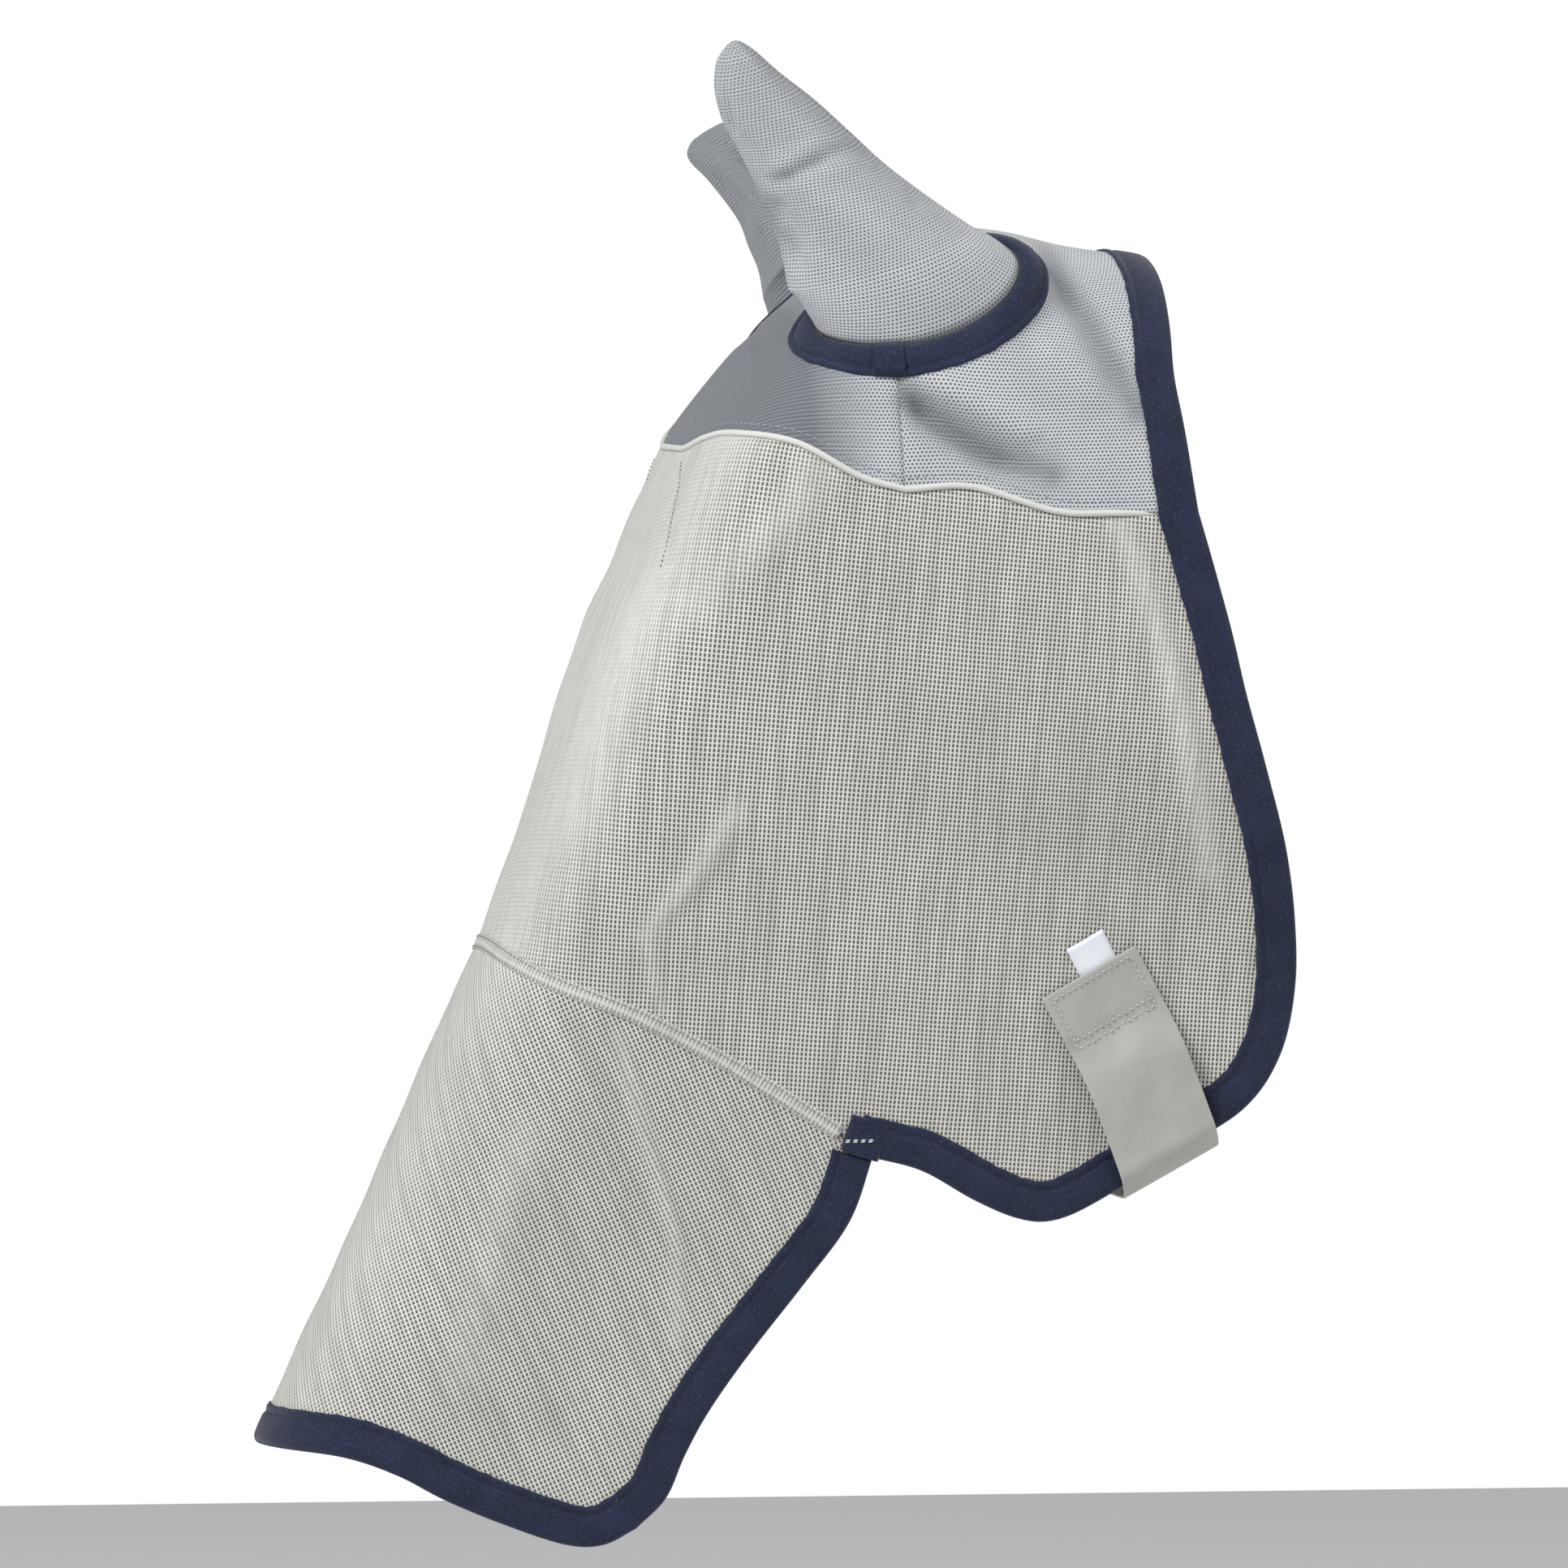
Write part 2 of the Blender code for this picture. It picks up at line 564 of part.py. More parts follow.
def nose_cover():
    """The mesh over the nose, and the felled seam that joins it to the face."""
    rear, hem = nose_stations()
    seam = lifted(NOSE_SEAM, len(hem))
    front = centre_run(SEAM_FRONT, HEM_FRONT, len(rear))
    grid = patch(front, rear, seam, hem)
    drawn_in(grid, "first", SEAM_GAP)
    grid[:, 0, 1] = 0.0
    cloth("nose_mesh_panel", grid, MESH_CLOTH, MESH, mirrored=True)

    over = MESH_CLOTH / 2 + SLACK + TAPE / 2
    run = shortened(seam, 0, BINDING_WIDTH + 2 * GAP)
    lines = np.array([rail(run, across, over) for across in (-SEAM_TAPE_WIDTH / 2, 0, SEAM_TAPE_WIDTH / 2)])
    lines[:, 0, 1] = 0.0
    cloth("nose_seam_tape", lines, TAPE, MESH, mirrored=True)


def bindings():
    """Navy tape folded round the back, cheek and jaw edges, and round the nose cover's edge."""
    poll_side, cheek = edge_stations()
    edge = np.vstack([poll_side, cheek[1:]])
    edge = shortened_end(edge, 2 * SLACK + TAPE)
    tape = folded_tape(edge, BINDING_WIDTH, MESH_CLOTH, CLOTH_IS_AHEAD)
    tape[:, 0, 1] = 0.0
    cloth("edge_binding", tape, TAPE, NAVY, mirrored=True)

    rear, hem = nose_stations()
    edge = np.vstack([hem, rear[::-1][1:]])
    edge = shortened_end(edge, 2 * SLACK + TAPE)
    tape = folded_tape(edge, BINDING_WIDTH, MESH_CLOTH, CLOTH_IS_BEHIND)
    tape[:, 0, 1] = 0.0
    cloth("nose_cover_binding", tape, TAPE, NAVY, mirrored=True)

    over = MESH_CLOTH / 2 + SLACK + TAPE + GAP + TAPE / 2
    corner = rear[:1]
    down = tangents(rear)[:1]
    inward = np.cross(normals(corner), down)
    inward *= -CLOTH_IS_BEHIND / np.linalg.norm(inward)
    across, along = CORNER_FOLD
    rows = []
    for step in np.linspace(-2 * along / 3, along / 3, 3):
        spots = on_skin(np.vstack([corner + down * step + inward * (across * share) for share in (0.05, 0.5, 1)]))
        rows.append(spots + normals(spots) * over)
    fold = np.array(rows)
    both_sides("corner_fold", fold, TAPE, NAVY)
    tack = fold[-1] * 0.4 + fold[-2] * 0.6
    tack += normals(tack) * (TAPE / 2 + GAP + TACK_RADIUS)
    tack = shortened(tack, TACK_END, TACK_END)
    cord("left_bar_tack", tack, TACK_RADIUS, WHITE)
    cord("right_bar_tack", other_side(tack[None])[0], TACK_RADIUS, WHITE)


def shortened_end(points, length):
    """The polyline with its last point drawn back by a length."""
    points = points.copy()
    back = points[-2] - points[-1]
    points[-1] += back * (length / np.linalg.norm(back))
    return points


def ears():
    """Each ear cover is an outer and an inner knit panel, sewn together along their edges."""
    low = hole_curve(np.array([-math.pi / 2, math.pi / 2]))
    hinge = low.mean(axis=0)
    web = 2 * SLACK + TAPE + KNIT_CLOTH / 2
    insets = (web + EAR_ROOM[0], web + EAR_ROOM[1])
    hole, hole_along, hole_across, _ = hole_frame()
    for side, name, stations in ((1, "left", LEFT_EAR), (-1, "right", RIGHT_EAR)):
        flip = np.array([1.0, side, 1.0])
        path = smooth(stations, EAR_ROWS)
        middle = hole + path[:, :3]
        lean = tangents(middle)
        width = np.array([math.cos(EAR_TURN), 0.0, math.sin(EAR_TURN)])
        thick = np.cross(lean, width)
        thick /= np.linalg.norm(thick, axis=1)[:, None]
        rise = np.arange(EAR_ROWS)
        leave = np.clip(rise / EAR_LEAVES, 0.0, 1.0)[:, None]
        turn = np.clip(rise / EAR_TURNS, 0.0, 1.0)[:, None]
        widths = hole_along * (1 - turn) + width * turn
        thicks = hole_across * (1 - turn) + thick * turn
        widths /= np.linalg.norm(widths, axis=1)[:, None]
        thicks /= np.linalg.norm(thicks, axis=1)[:, None]
        for panel, start in (("outer", -math.pi), ("inner", 0.0)):
            rows = []
            for row in range(EAR_ROWS):
                trim = EAR_SEAM / 2 / path[row, 4]
                angles = np.linspace(start + trim, start + math.pi - trim, 9)
                wide = np.cos(angles)[:, None] * path[row, 3] * widths[row]
                deep = np.sin(angles)[:, None] * path[row, 4] * thicks[row]
                base = hole_curve(angles, *insets)
                rows.append(base * (1 - leave[row]) + (middle[row] + wide + deep) * leave[row])
            grid = np.array(rows) * flip
            if side < 0:
                grid = grid[:, ::-1]
            cloth(f"{name}_ear_{panel}_panel", grid, KNIT_CLOTH, KNIT, pivot=hinge * flip)


def strap_frame():
    """Start of the stitched box, direction down the strap and direction across it, in the side elevation."""
    start = drawn([STRAP_START])[0]
    down = np.array([math.sin(STRAP_LEAN), -math.cos(STRAP_LEAN)])
    across = np.array([math.cos(STRAP_LEAN), math.sin(STRAP_LEAN)])
    return start, down, across


def cheek_at(run, across):
    """Half width of the skin under the strap, run down it and across it."""
    start, down, over = strap_frame()
    place = start + down * run + over * across
    return section(np.array([place[0]]), np.array([place[1]]))[0][0]


def strap_point(run, across, out):
    """A point of the left strap, out from the mask's centre plane."""
    start, down, over = strap_frame()
    x, z = start + down * run + over * across
    return np.array([x, -out, z])


def strap_drop():
    """From the top of the stitched box to the bottom of the strap's loop, which clears the cheek's edge."""
    start, down, over = strap_frame()
    edge = smooth(drawn(BACK_EDGE), 500) - start
    run, across = edge @ down, edge @ over
    return run[(run > STRAP_BOX) & (np.abs(across) < STRAP_WIDTH / 2)].max() + STRAP_BELOW


def strap_row(run):
    """How far out the straight row of the stitched box lies at its front and back edge."""
    half = STRAP_WIDTH / 2
    front, back = cheek_at(run, -half), cheek_at(run, half)
    bulge = max(cheek_at(run, half * share) - (front + (back - front) * (share + 1) / 2)
                for share in (-0.5, 0.0, 0.5))
    lift = MESH_CLOTH / 2 + 2 * GAP + LABEL_CLOTH + STRAP_CLOTH / 2 + max(bulge, 0.0)
    return front + lift, back + lift


def strap_box():
    """Grid of the stitched end of the left strap."""
    rows = []
    for run in np.linspace(0.0, STRAP_BOX, 4):
        front, back = strap_row(run)
        rows.append([strap_point(run, -STRAP_WIDTH / 2, front), strap_point(run, 0.0, (front + back) / 2),
                     strap_point(run, STRAP_WIDTH / 2, back)])
    return np.array(rows)


def free_strap(drop):
    """Grid of the free part of the left strap, down the cheek and under the throat."""
    half = STRAP_WIDTH / 2
    front, back = strap_row(STRAP_BOX)
    runs = STRAP_BOX + (drop - LAST_CHEEK - STRAP_BOX) * np.array([0.35, 0.7, 1.0])
    edge = [max(cheek_at(run, share * half) for share in (-1, 0, 1)) + STRAP_BOW for run in runs]
    path = [((front + back) / 2, STRAP_BOX + SEAM_GAP)] + list(zip(edge, runs))
    path += [(edge[2] - inward, drop - above) for inward, above in STRAP_TURN]
    path += [(0.0, drop), (-STRAP_OVERLAP / 2, drop)]
    rows = []
    for out, run in smooth(path, 24):
        fade = min(max((drop - STRAP_TWIST[0] - run) / STRAP_TWIST[1], 0.0), 1.0)
        turn = (back - front) / 2 * fade
        rows.append([strap_point(run, -half, out - turn), strap_point(run, 0.0, out),
                     strap_point(run, half, out + turn)])
    return np.array(rows)


def strap_hinge():
    """A point on the outer face of the strap at its lower row of stitches."""
    front, back = strap_row(STRAP_BOX)
    return strap_point(STRAP_BOX, 0.0, (front + back) / 2 + STRAP_CLOTH / 2)


def straps():
    """Two straps sewn to the cheeks that close under the throat with hook and loop, and the size label."""
    box = strap_box()
    both_sides("strap_box", box, STRAP_CLOTH, WEBBING)
    proud = STRAP_CLOTH / 2 + GAP + THREAD_RADIUS
    half = STRAP_WIDTH / 2 - STITCH_EDGE
    runs = np.linspace(STITCH_EDGE, STRAP_BOX - STITCH_EDGE / 2, 4)
    loop = []
    for share, order in ((-1, runs), (1, runs[::-1])):
        for run in order:
            front, back = strap_row(run)
            out = front + (back - front) * (share * half / STRAP_WIDTH + 0.5)
            loop.append(strap_point(run, share * half, out + proud + GAP))
    loop = np.array(loop)
    cord("left_strap_stitching", loop, THREAD_RADIUS, THREAD, closed=True)
    cord("right_strap_stitching", loop * np.array([1.0, -1.0, 1.0]), THREAD_RADIUS, THREAD, closed=True)

    hinge = strap_hinge()
    mirror = np.array([1.0, -1.0, 1.0])
    drop = strap_drop()
    step = STRAP_CLOTH + 2 * TAPE_PAD + 3 * GAP
    cloth("left_strap", free_strap(drop), STRAP_CLOTH, WEBBING, pivot=hinge)
    cloth("right_strap", other_side(free_strap(drop - step)), STRAP_CLOTH, WEBBING, pivot=hinge * mirror)
    pad = STRAP_CLOTH / 2 + GAP + TAPE_PAD / 2
    reach = STRAP_OVERLAP / 2 - PAD_EDGE
    for name, run, place in (("left_hook_tape", drop - pad, hinge),
                             ("right_loop_tape", drop - step + pad, hinge * mirror)):
        rows = [[strap_point(run, across, out) for across in (-half, half)] for out in (-reach, reach)]
        cloth(name, np.array(rows), TAPE_PAD, HOOK if "hook" in name else WEBBING, pivot=place)

    rows = []
    for run in np.linspace(-LABEL_SHOWS, LABEL_TUCK, 4):
        spots = [strap_point(run, LABEL_PLACE + across, cheek_at(run, LABEL_PLACE + across)
                             + MESH_CLOTH / 2 + GAP + LABEL_CLOTH / 2)
                 for across in (-LABEL_WIDTH / 2, LABEL_WIDTH / 2)]
        rows.append(spots)
    cloth("size_label", np.array(rows), LABEL_CLOTH, LABEL_STUFF)


for old in list(bpy.data.objects):
    bpy.data.objects.remove(old)
PIECES = bpy.data.collections.new("fly_mask")
bpy.context.scene.collection.children.link(PIECES)
crown()
face()
nose_cover()
bindings()
ears()
straps()
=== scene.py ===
import math

import bpy
import numpy as np
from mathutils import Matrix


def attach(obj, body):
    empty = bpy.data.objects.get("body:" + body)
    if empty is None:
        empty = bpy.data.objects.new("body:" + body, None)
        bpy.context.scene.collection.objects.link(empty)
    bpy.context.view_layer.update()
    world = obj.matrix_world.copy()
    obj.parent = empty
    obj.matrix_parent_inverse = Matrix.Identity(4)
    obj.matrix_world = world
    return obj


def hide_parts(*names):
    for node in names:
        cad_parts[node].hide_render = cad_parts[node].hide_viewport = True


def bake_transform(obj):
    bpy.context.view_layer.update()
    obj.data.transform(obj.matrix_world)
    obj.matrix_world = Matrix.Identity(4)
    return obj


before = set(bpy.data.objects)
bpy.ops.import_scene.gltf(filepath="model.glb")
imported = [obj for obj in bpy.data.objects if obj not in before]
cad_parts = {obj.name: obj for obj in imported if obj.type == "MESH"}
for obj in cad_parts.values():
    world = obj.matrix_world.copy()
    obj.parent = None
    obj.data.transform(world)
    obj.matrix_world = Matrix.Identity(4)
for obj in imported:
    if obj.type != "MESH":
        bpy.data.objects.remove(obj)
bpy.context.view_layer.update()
bpy.ops.object.select_all(action="DESELECT")

# ---------------------------------------------------------------------------------------------
# Studio. A pale floor a little below the mask, an even white room, a large soft lamp over the
# left cheek and a weaker one behind the ears. The camera stands square to the left side.
# ---------------------------------------------------------------------------------------------
FLOOR_HEIGHT = -0.80
ROOM_LIGHT = 0.40
bpy.ops.mesh.primitive_plane_add(size=6.0, location=(-0.14, 0.0, FLOOR_HEIGHT))
floor = bpy.context.object
floor.name = "studio_floor"
floor_paint = bpy.data.materials.new("floor_paint")
floor_paint.use_nodes = True
floor_paint.node_tree.nodes["Principled BSDF"].inputs["Base Color"].default_value = (0.86, 0.86, 0.86, 1)
floor_paint.node_tree.nodes["Principled BSDF"].inputs["Roughness"].default_value = 0.9
floor.data.materials.append(floor_paint)

room = bpy.data.worlds.new("studio_room")
room.use_nodes = True
room.node_tree.nodes["Background"].inputs["Color"].default_value = (1, 1, 1, 1)
room.node_tree.nodes["Background"].inputs["Strength"].default_value = ROOM_LIGHT
wall = room.node_tree.nodes.new("ShaderNodeBackground")
wall.inputs["Color"].default_value = (1, 1, 1, 1)
wall.inputs["Strength"].default_value = 1.0
seen = room.node_tree.nodes.new("ShaderNodeLightPath")
either = room.node_tree.nodes.new("ShaderNodeMixShader")
room.node_tree.links.new(seen.outputs["Is Camera Ray"], either.inputs[0])
room.node_tree.links.new(room.node_tree.nodes["Background"].outputs[0], either.inputs[1])
room.node_tree.links.new(wall.outputs[0], either.inputs[2])
room.node_tree.links.new(either.outputs[0], room.node_tree.nodes["World Output"].inputs["Surface"])
bpy.context.scene.world = room
bpy.context.scene.view_settings.view_transform = "Standard"

MASK_MIDDLE = np.array([-0.14, 0.0, -0.25])
for name, place, size, watts in (("key_lamp", (-1.7, -1.5, 1.6), 0.8, 74.0),
                                 ("rear_lamp", (1.5, -0.9, 1.0), 0.8, 16.0)):
    bpy.ops.object.light_add(type="AREA", location=place)
    lamp = bpy.context.object
    lamp.name = name
    lamp.data.size = size
    lamp.data.energy = watts
    aim = MASK_MIDDLE - np.array(place)
    lamp.rotation_euler = (math.acos(-aim[2] / np.linalg.norm(aim)), 0.0,
                           math.atan2(aim[1], aim[0]) - math.pi / 2)

VIEW_AZIMUTH = math.radians(-9)
VIEW_ELEVATION = math.radians(2)
VIEW_DISTANCE = 8.0
VIEW_WIDTH = 0.7165
AIM_RIGHT, AIM_UP = -0.1258, -0.2447
to_camera = np.array([math.sin(VIEW_AZIMUTH) * math.cos(VIEW_ELEVATION),
                      -math.cos(VIEW_AZIMUTH) * math.cos(VIEW_ELEVATION), math.sin(VIEW_ELEVATION)])
to_right = np.array([math.cos(VIEW_AZIMUTH), math.sin(VIEW_AZIMUTH), 0.0])
to_top = np.array([-math.sin(VIEW_AZIMUTH) * math.sin(VIEW_ELEVATION),
                   math.cos(VIEW_AZIMUTH) * math.sin(VIEW_ELEVATION), math.cos(VIEW_ELEVATION)])
bpy.ops.object.camera_add(location=to_right * AIM_RIGHT + to_top * AIM_UP + to_camera * VIEW_DISTANCE,
                          rotation=(math.pi / 2 - VIEW_ELEVATION, 0.0, VIEW_AZIMUTH))
camera = bpy.context.object
camera.data.sensor_width = 36.0
camera.data.lens = 36.0 * VIEW_DISTANCE / VIEW_WIDTH
camera.data.clip_end = 40.0
bpy.context.scene.camera = camera

# ---------------------------------------------------------------------------------------------
# Crown. Two knit panels between the ears, the forehead one and the poll one, sewn together at
# the top and under each ear hole. The knit has small staggered holes, and it is drawn into
# ribs over the forehead.
# ---------------------------------------------------------------------------------------------
KNIT_THICK = 0.0009
KNIT_PITCH, KNIT_ROW = 0.00185, 0.90
KNIT_RIB = 0.0021
CENTRE_LINE = [
    (0.090, -0.030), (0.062, -0.014), (0.036, -0.005), (0.000, 0.001), (-0.030, 0.008), (-0.060, 0.009),
    (-0.095, -0.002), (-0.125, -0.025), (-0.148, -0.048), (-0.1665, -0.071), (-0.181, -0.095),
    (-0.203, -0.145), (-0.2245, -0.200), (-0.243, -0.252), (-0.260, -0.297), (-0.269, -0.320),
    (-0.287, -0.358), (-0.309, -0.408), (-0.331, -0.458), (-0.351, -0.500), (-0.369, -0.541),
    (-0.385, -0.580), (-0.401, -0.620),
]
BROW_FRONT = (-0.1785, -0.091)
BROW_SEAM = (-0.088, -0.108)
BROW_LINE = [
    BROW_FRONT, (-0.171, -0.085), (-0.161, -0.083), (-0.137, -0.087), (-0.109, -0.102), BROW_SEAM,
    (-0.057, -0.107), (-0.019, -0.118), (0.008, -0.119), (0.046, -0.119),
]
POLL_EDGE = (0.036, -0.005)
BROW_BACK = (0.046, -0.119)
JAW_CORNER = (-0.100, -0.409)
BACK_EDGE = [
    POLL_EDGE, (0.037, -0.018), (0.037, -0.036), (0.037, -0.056), (0.040, -0.078), BROW_BACK,
    (0.059, -0.166), (0.067, -0.200), (0.076, -0.233), (0.086, -0.270), (0.092, -0.305), (0.0935, -0.337),
    (0.087, -0.366), (0.071, -0.389), (0.040, -0.408), (0.004, -0.430), (-0.016, -0.4385), (-0.032, -0.4375),
    (-0.052, -0.429), (-0.076, -0.4155), JAW_CORNER,
]
EAR_SEAM_TOP = (-0.052, 0.009)
HOLE_LENGTH, HOLE_WIDTH = 0.102, 0.064
HOLE_PLACE = (-0.079, -0.020)
HOLE_TILT = math.radians(20)
HOLE_FRONT_RISE = 0.008


OTHER_SIDE = np.array([1.0, -1.0, 1.0])


def run_of(points):
    """How far along a line of points each of them is."""
    return np.concatenate([[0.0], np.cumsum(np.linalg.norm(np.diff(points, axis=0), axis=1))])


def unit(vectors):
    return vectors / np.linalg.norm(vectors, axis=1)[:, None]


def pattern(along, across):
    """Pattern coordinates of a strip, from its distances along and across."""
    return np.stack(np.broadcast_arrays(np.asarray(along)[None, :], np.asarray(across)[:, None]), axis=2)


def walked(points, count, shares=None):
    """A line of points walked again in even steps, or in the shares of its length given."""
    points = np.asarray(points, float)
    run = run_of(points)
    shares = np.linspace(0.0, 1.0, count) if shares is None else shares
    return np.stack([np.interp(shares * run[-1], run, points[:, k]) for k in range(points.shape[1])], axis=1)


def eased(points, count=400):
    """An even curve through the points."""
    points = np.asarray(points, float)
    ends = np.vstack([2 * points[0] - points[1], points, 2 * points[-1] - points[-2]])
    pieces = []
    for before, start, end, after in zip(ends, ends[1:], ends[2:], ends[3:]):
        t = np.linspace(0.0, 1.0, 24, endpoint=False)[:, None]
        pieces.append(0.5 * (2 * start + (end - before) * t + (2 * before - 5 * start + 4 * end - after) * t**2
                             + (3 * start - before - 3 * end + after) * t**3))
    return walked(np.vstack(pieces + [points[-1:]]), count)


CENTRE = eased(CENTRE_LINE, 400)
# Down the head: half width, depth of the rounded front, and how square it is
HEAD = eased([
    (-0.060, 0.0750, 0.062, 2.5), (-0.010, 0.0750, 0.062, 2.5), (0.055, 0.0930, 0.074, 2.2),
    (0.120, 0.0990, 0.060, 2.5), (0.180, 0.1050, 0.054, 2.8), (0.240, 0.1010, 0.054, 2.8),
    (0.320, 0.0910, 0.056, 2.6), (0.410, 0.0730, 0.060, 2.3), (0.500, 0.0660, 0.062, 2.1),
    (0.600, 0.0650, 0.064, 2.1), (0.700, 0.0650, 0.064, 2.1),
])
THROAT_HALF = 0.076
TABLE_STEP = 0.0015
TABLE_X = np.arange(-0.42, 0.13, TABLE_STEP)
TABLE_Z = np.arange(-0.66, 0.05, TABLE_STEP)


def measured_table():
    """Distance behind the centre line, over a grid of the side elevation."""
    x, z = [side.ravel() for side in np.meshgrid(TABLE_X, TABLE_Z, indexing="ij")]
    start, along = CENTRE[:-1], np.diff(CENTRE, axis=0)
    length = (along**2).sum(axis=1)
    found = np.empty(len(x))
    for low in range(0, len(x), 20000):
        part = slice(low, low + 20000)
        rel_x, rel_z = x[part, None] - start[:, 0], z[part, None] - start[:, 1]
        share = np.clip((rel_x * along[:, 0] + rel_z * along[:, 1]) / length, 0.0, 1.0)
        off_x, off_z = rel_x - share * along[:, 0], rel_z - share * along[:, 1]
        square = off_x**2 + off_z**2
        near = square.argmin(axis=1)
        row = np.arange(len(near))
        side = along[near, 0] * off_z[row, near] - along[near, 1] * off_x[row, near]
        found[part] = np.sqrt(square[row, near]) * np.where(side >= 0, 1.0, -1.0)
    return found.reshape(len(TABLE_X), len(TABLE_Z))


BEHIND = measured_table()


def section(x, z):
    """Half width, rounding depth, squareness and distance behind the centre line at a place."""
    station = -0.6 * x - 0.8 * z
    half, depth, square = (np.interp(station, HEAD[:, 0], HEAD[:, k]) for k in (1, 2, 3))
    col = np.clip((x - TABLE_X[0]) / TABLE_STEP, 0, len(TABLE_X) - 1.001)
    row = np.clip((z - TABLE_Z[0]) / TABLE_STEP, 0, len(TABLE_Z) - 1.001)
    i, j = col.astype(int), row.astype(int)
    u, v = col - i, row - j
    behind = ((BEHIND[i, j] * (1 - u) + BEHIND[i + 1, j] * u) * (1 - v)
              + (BEHIND[i, j + 1] * (1 - u) + BEHIND[i + 1, j + 1] * u) * v)
    taper = np.clip((behind - 0.150) / 0.190, 0.0, 1.0)
    taper = taper**2 * (3 - 2 * taper) * np.clip((station - 0.060) / 0.150, 0.0, 1.0)
    return half + (THROAT_HALF - half) * taper, depth, square, behind


def head_form(points):
    """Nought on the cloth, below nought inside the head and above nought outside."""
    half, depth, square, behind = section(points[:, 0], points[:, 2])
    front = np.maximum(1.0 - behind / depth, 0.0)
    return np.maximum((np.abs(points[:, 1]) / half)**square + front**square, 1e-12)**(1.0 / square) - 1.0


def head_slope(points):
    step = 4e-4
    parts = []
    for axis in range(3):
        move = np.zeros(3)
        move[axis] = step
        parts.append((head_form(points + move) - head_form(points - move)) / (2 * step))
    return np.stack(parts, axis=1)


def outward(points):
    """Directions straight off the head."""
    return unit(head_slope(points))


def on_head(points):
    """The points moved onto the head."""
    points = np.array(points, float)
    for _ in range(7):
        direction = head_slope(points)
        points -= direction * (head_form(points) / (direction**2).sum(axis=1))[:, None]
    return points


def lifted(line, count, from_centre=True):
    """A line of the side elevation laid on the left half of the head."""
    x, z = eased(line, 500).T
    half, depth, square, behind = section(x, z)
    front = np.clip(1.0 - behind / depth, 0.0, 1.0)
    y = -half * (1.0 - front**square)**(1.0 / square)
    if from_centre:
        y[0] = 0.0
    laid = walked(np.stack([x, y, z], axis=1), count)
    settled = on_head(laid)
    if from_centre:
        settled[0] = laid[0]
    return settled


def centre_run(start, end, count):
    """Points along the centre line, from one place to another."""
    first = np.linalg.norm(CENTRE - np.array(start), axis=1).argmin()
    last = np.linalg.norm(CENTRE - np.array(end), axis=1).argmin()
    step = 1 if last > first else -1
    run = CENTRE[first:last + step if last + step >= 0 else None:step]
    x, z = walked(run, count).T
    return np.stack([x, np.zeros(count), z], axis=1)


def split_at(line, corner):
    index = line.index(corner)
    return line[:index + 1], line[index:]


def directions(curve, closed=False):
    """Unit directions along a curve."""
    if closed:
        along = np.roll(curve, -1, axis=0) - np.roll(curve, 1, axis=0)
    else:
        along = np.gradient(curve, axis=0)
    return unit(along)


def laid_rows(rows, columns, graded=0.0):
    """Each row laid on the head in even steps, closer together at its ends by the grading."""
    even = np.linspace(0.0, 1.0, columns + 1)
    shares = (1.0 - graded) * even + graded * 0.5 * (1.0 - np.cos(math.pi * even))
    done = []
    for row in rows:
        row = walked(row, 2 * columns + 1)
        for _ in range(3):
            row[1:-1] = on_head(row[1:-1])
            row = walked(row, 2 * columns + 1)
        row = walked(row, columns + 1, shares)
        row[1:-1] = on_head(row[1:-1])
        done.append(row)
    return np.array(done)


def hole_frame():
    """Centre, long axis, cross axis and outward direction of the left ear hole."""
    x, z = HOLE_PLACE
    half, depth, square, behind = (value[0] for value in section(np.array([x]), np.array([z])))
    y = -half * (1.0 - max(1.0 - behind / depth, 0.0)**square)**(1.0 / square)
    centre = np.array([x, y, z])
    out = outward(centre[None])[0]
    along = np.array([math.cos(HOLE_TILT), 0.0, math.sin(HOLE_TILT)])
    along -= out * along.dot(out)
    along /= np.linalg.norm(along)
    return centre, along, np.cross(out, along), out


HOLE, HOLE_ALONG, HOLE_ACROSS, HOLE_OUT = hole_frame()


def hole_edge(angles, in_along=0.0, in_across=0.0):
    """Points of the left ear hole's edge, at angles from its back end."""
    reach = (HOLE_LENGTH / 2 - in_along) * np.cos(angles)
    rise = ((HOLE_WIDTH / 2 - in_across) * np.sin(angles)
            + HOLE_FRONT_RISE * np.maximum(-np.cos(angles), 0.0)**2)
    return on_head(HOLE + reach[:, None] * HOLE_ALONG + rise[:, None] * HOLE_ACROSS)


def hole_angle(target):
    angles = np.linspace(-math.pi, math.pi, 721)
    return angles[np.linalg.norm(hole_edge(angles) - target, axis=1).argmin()]


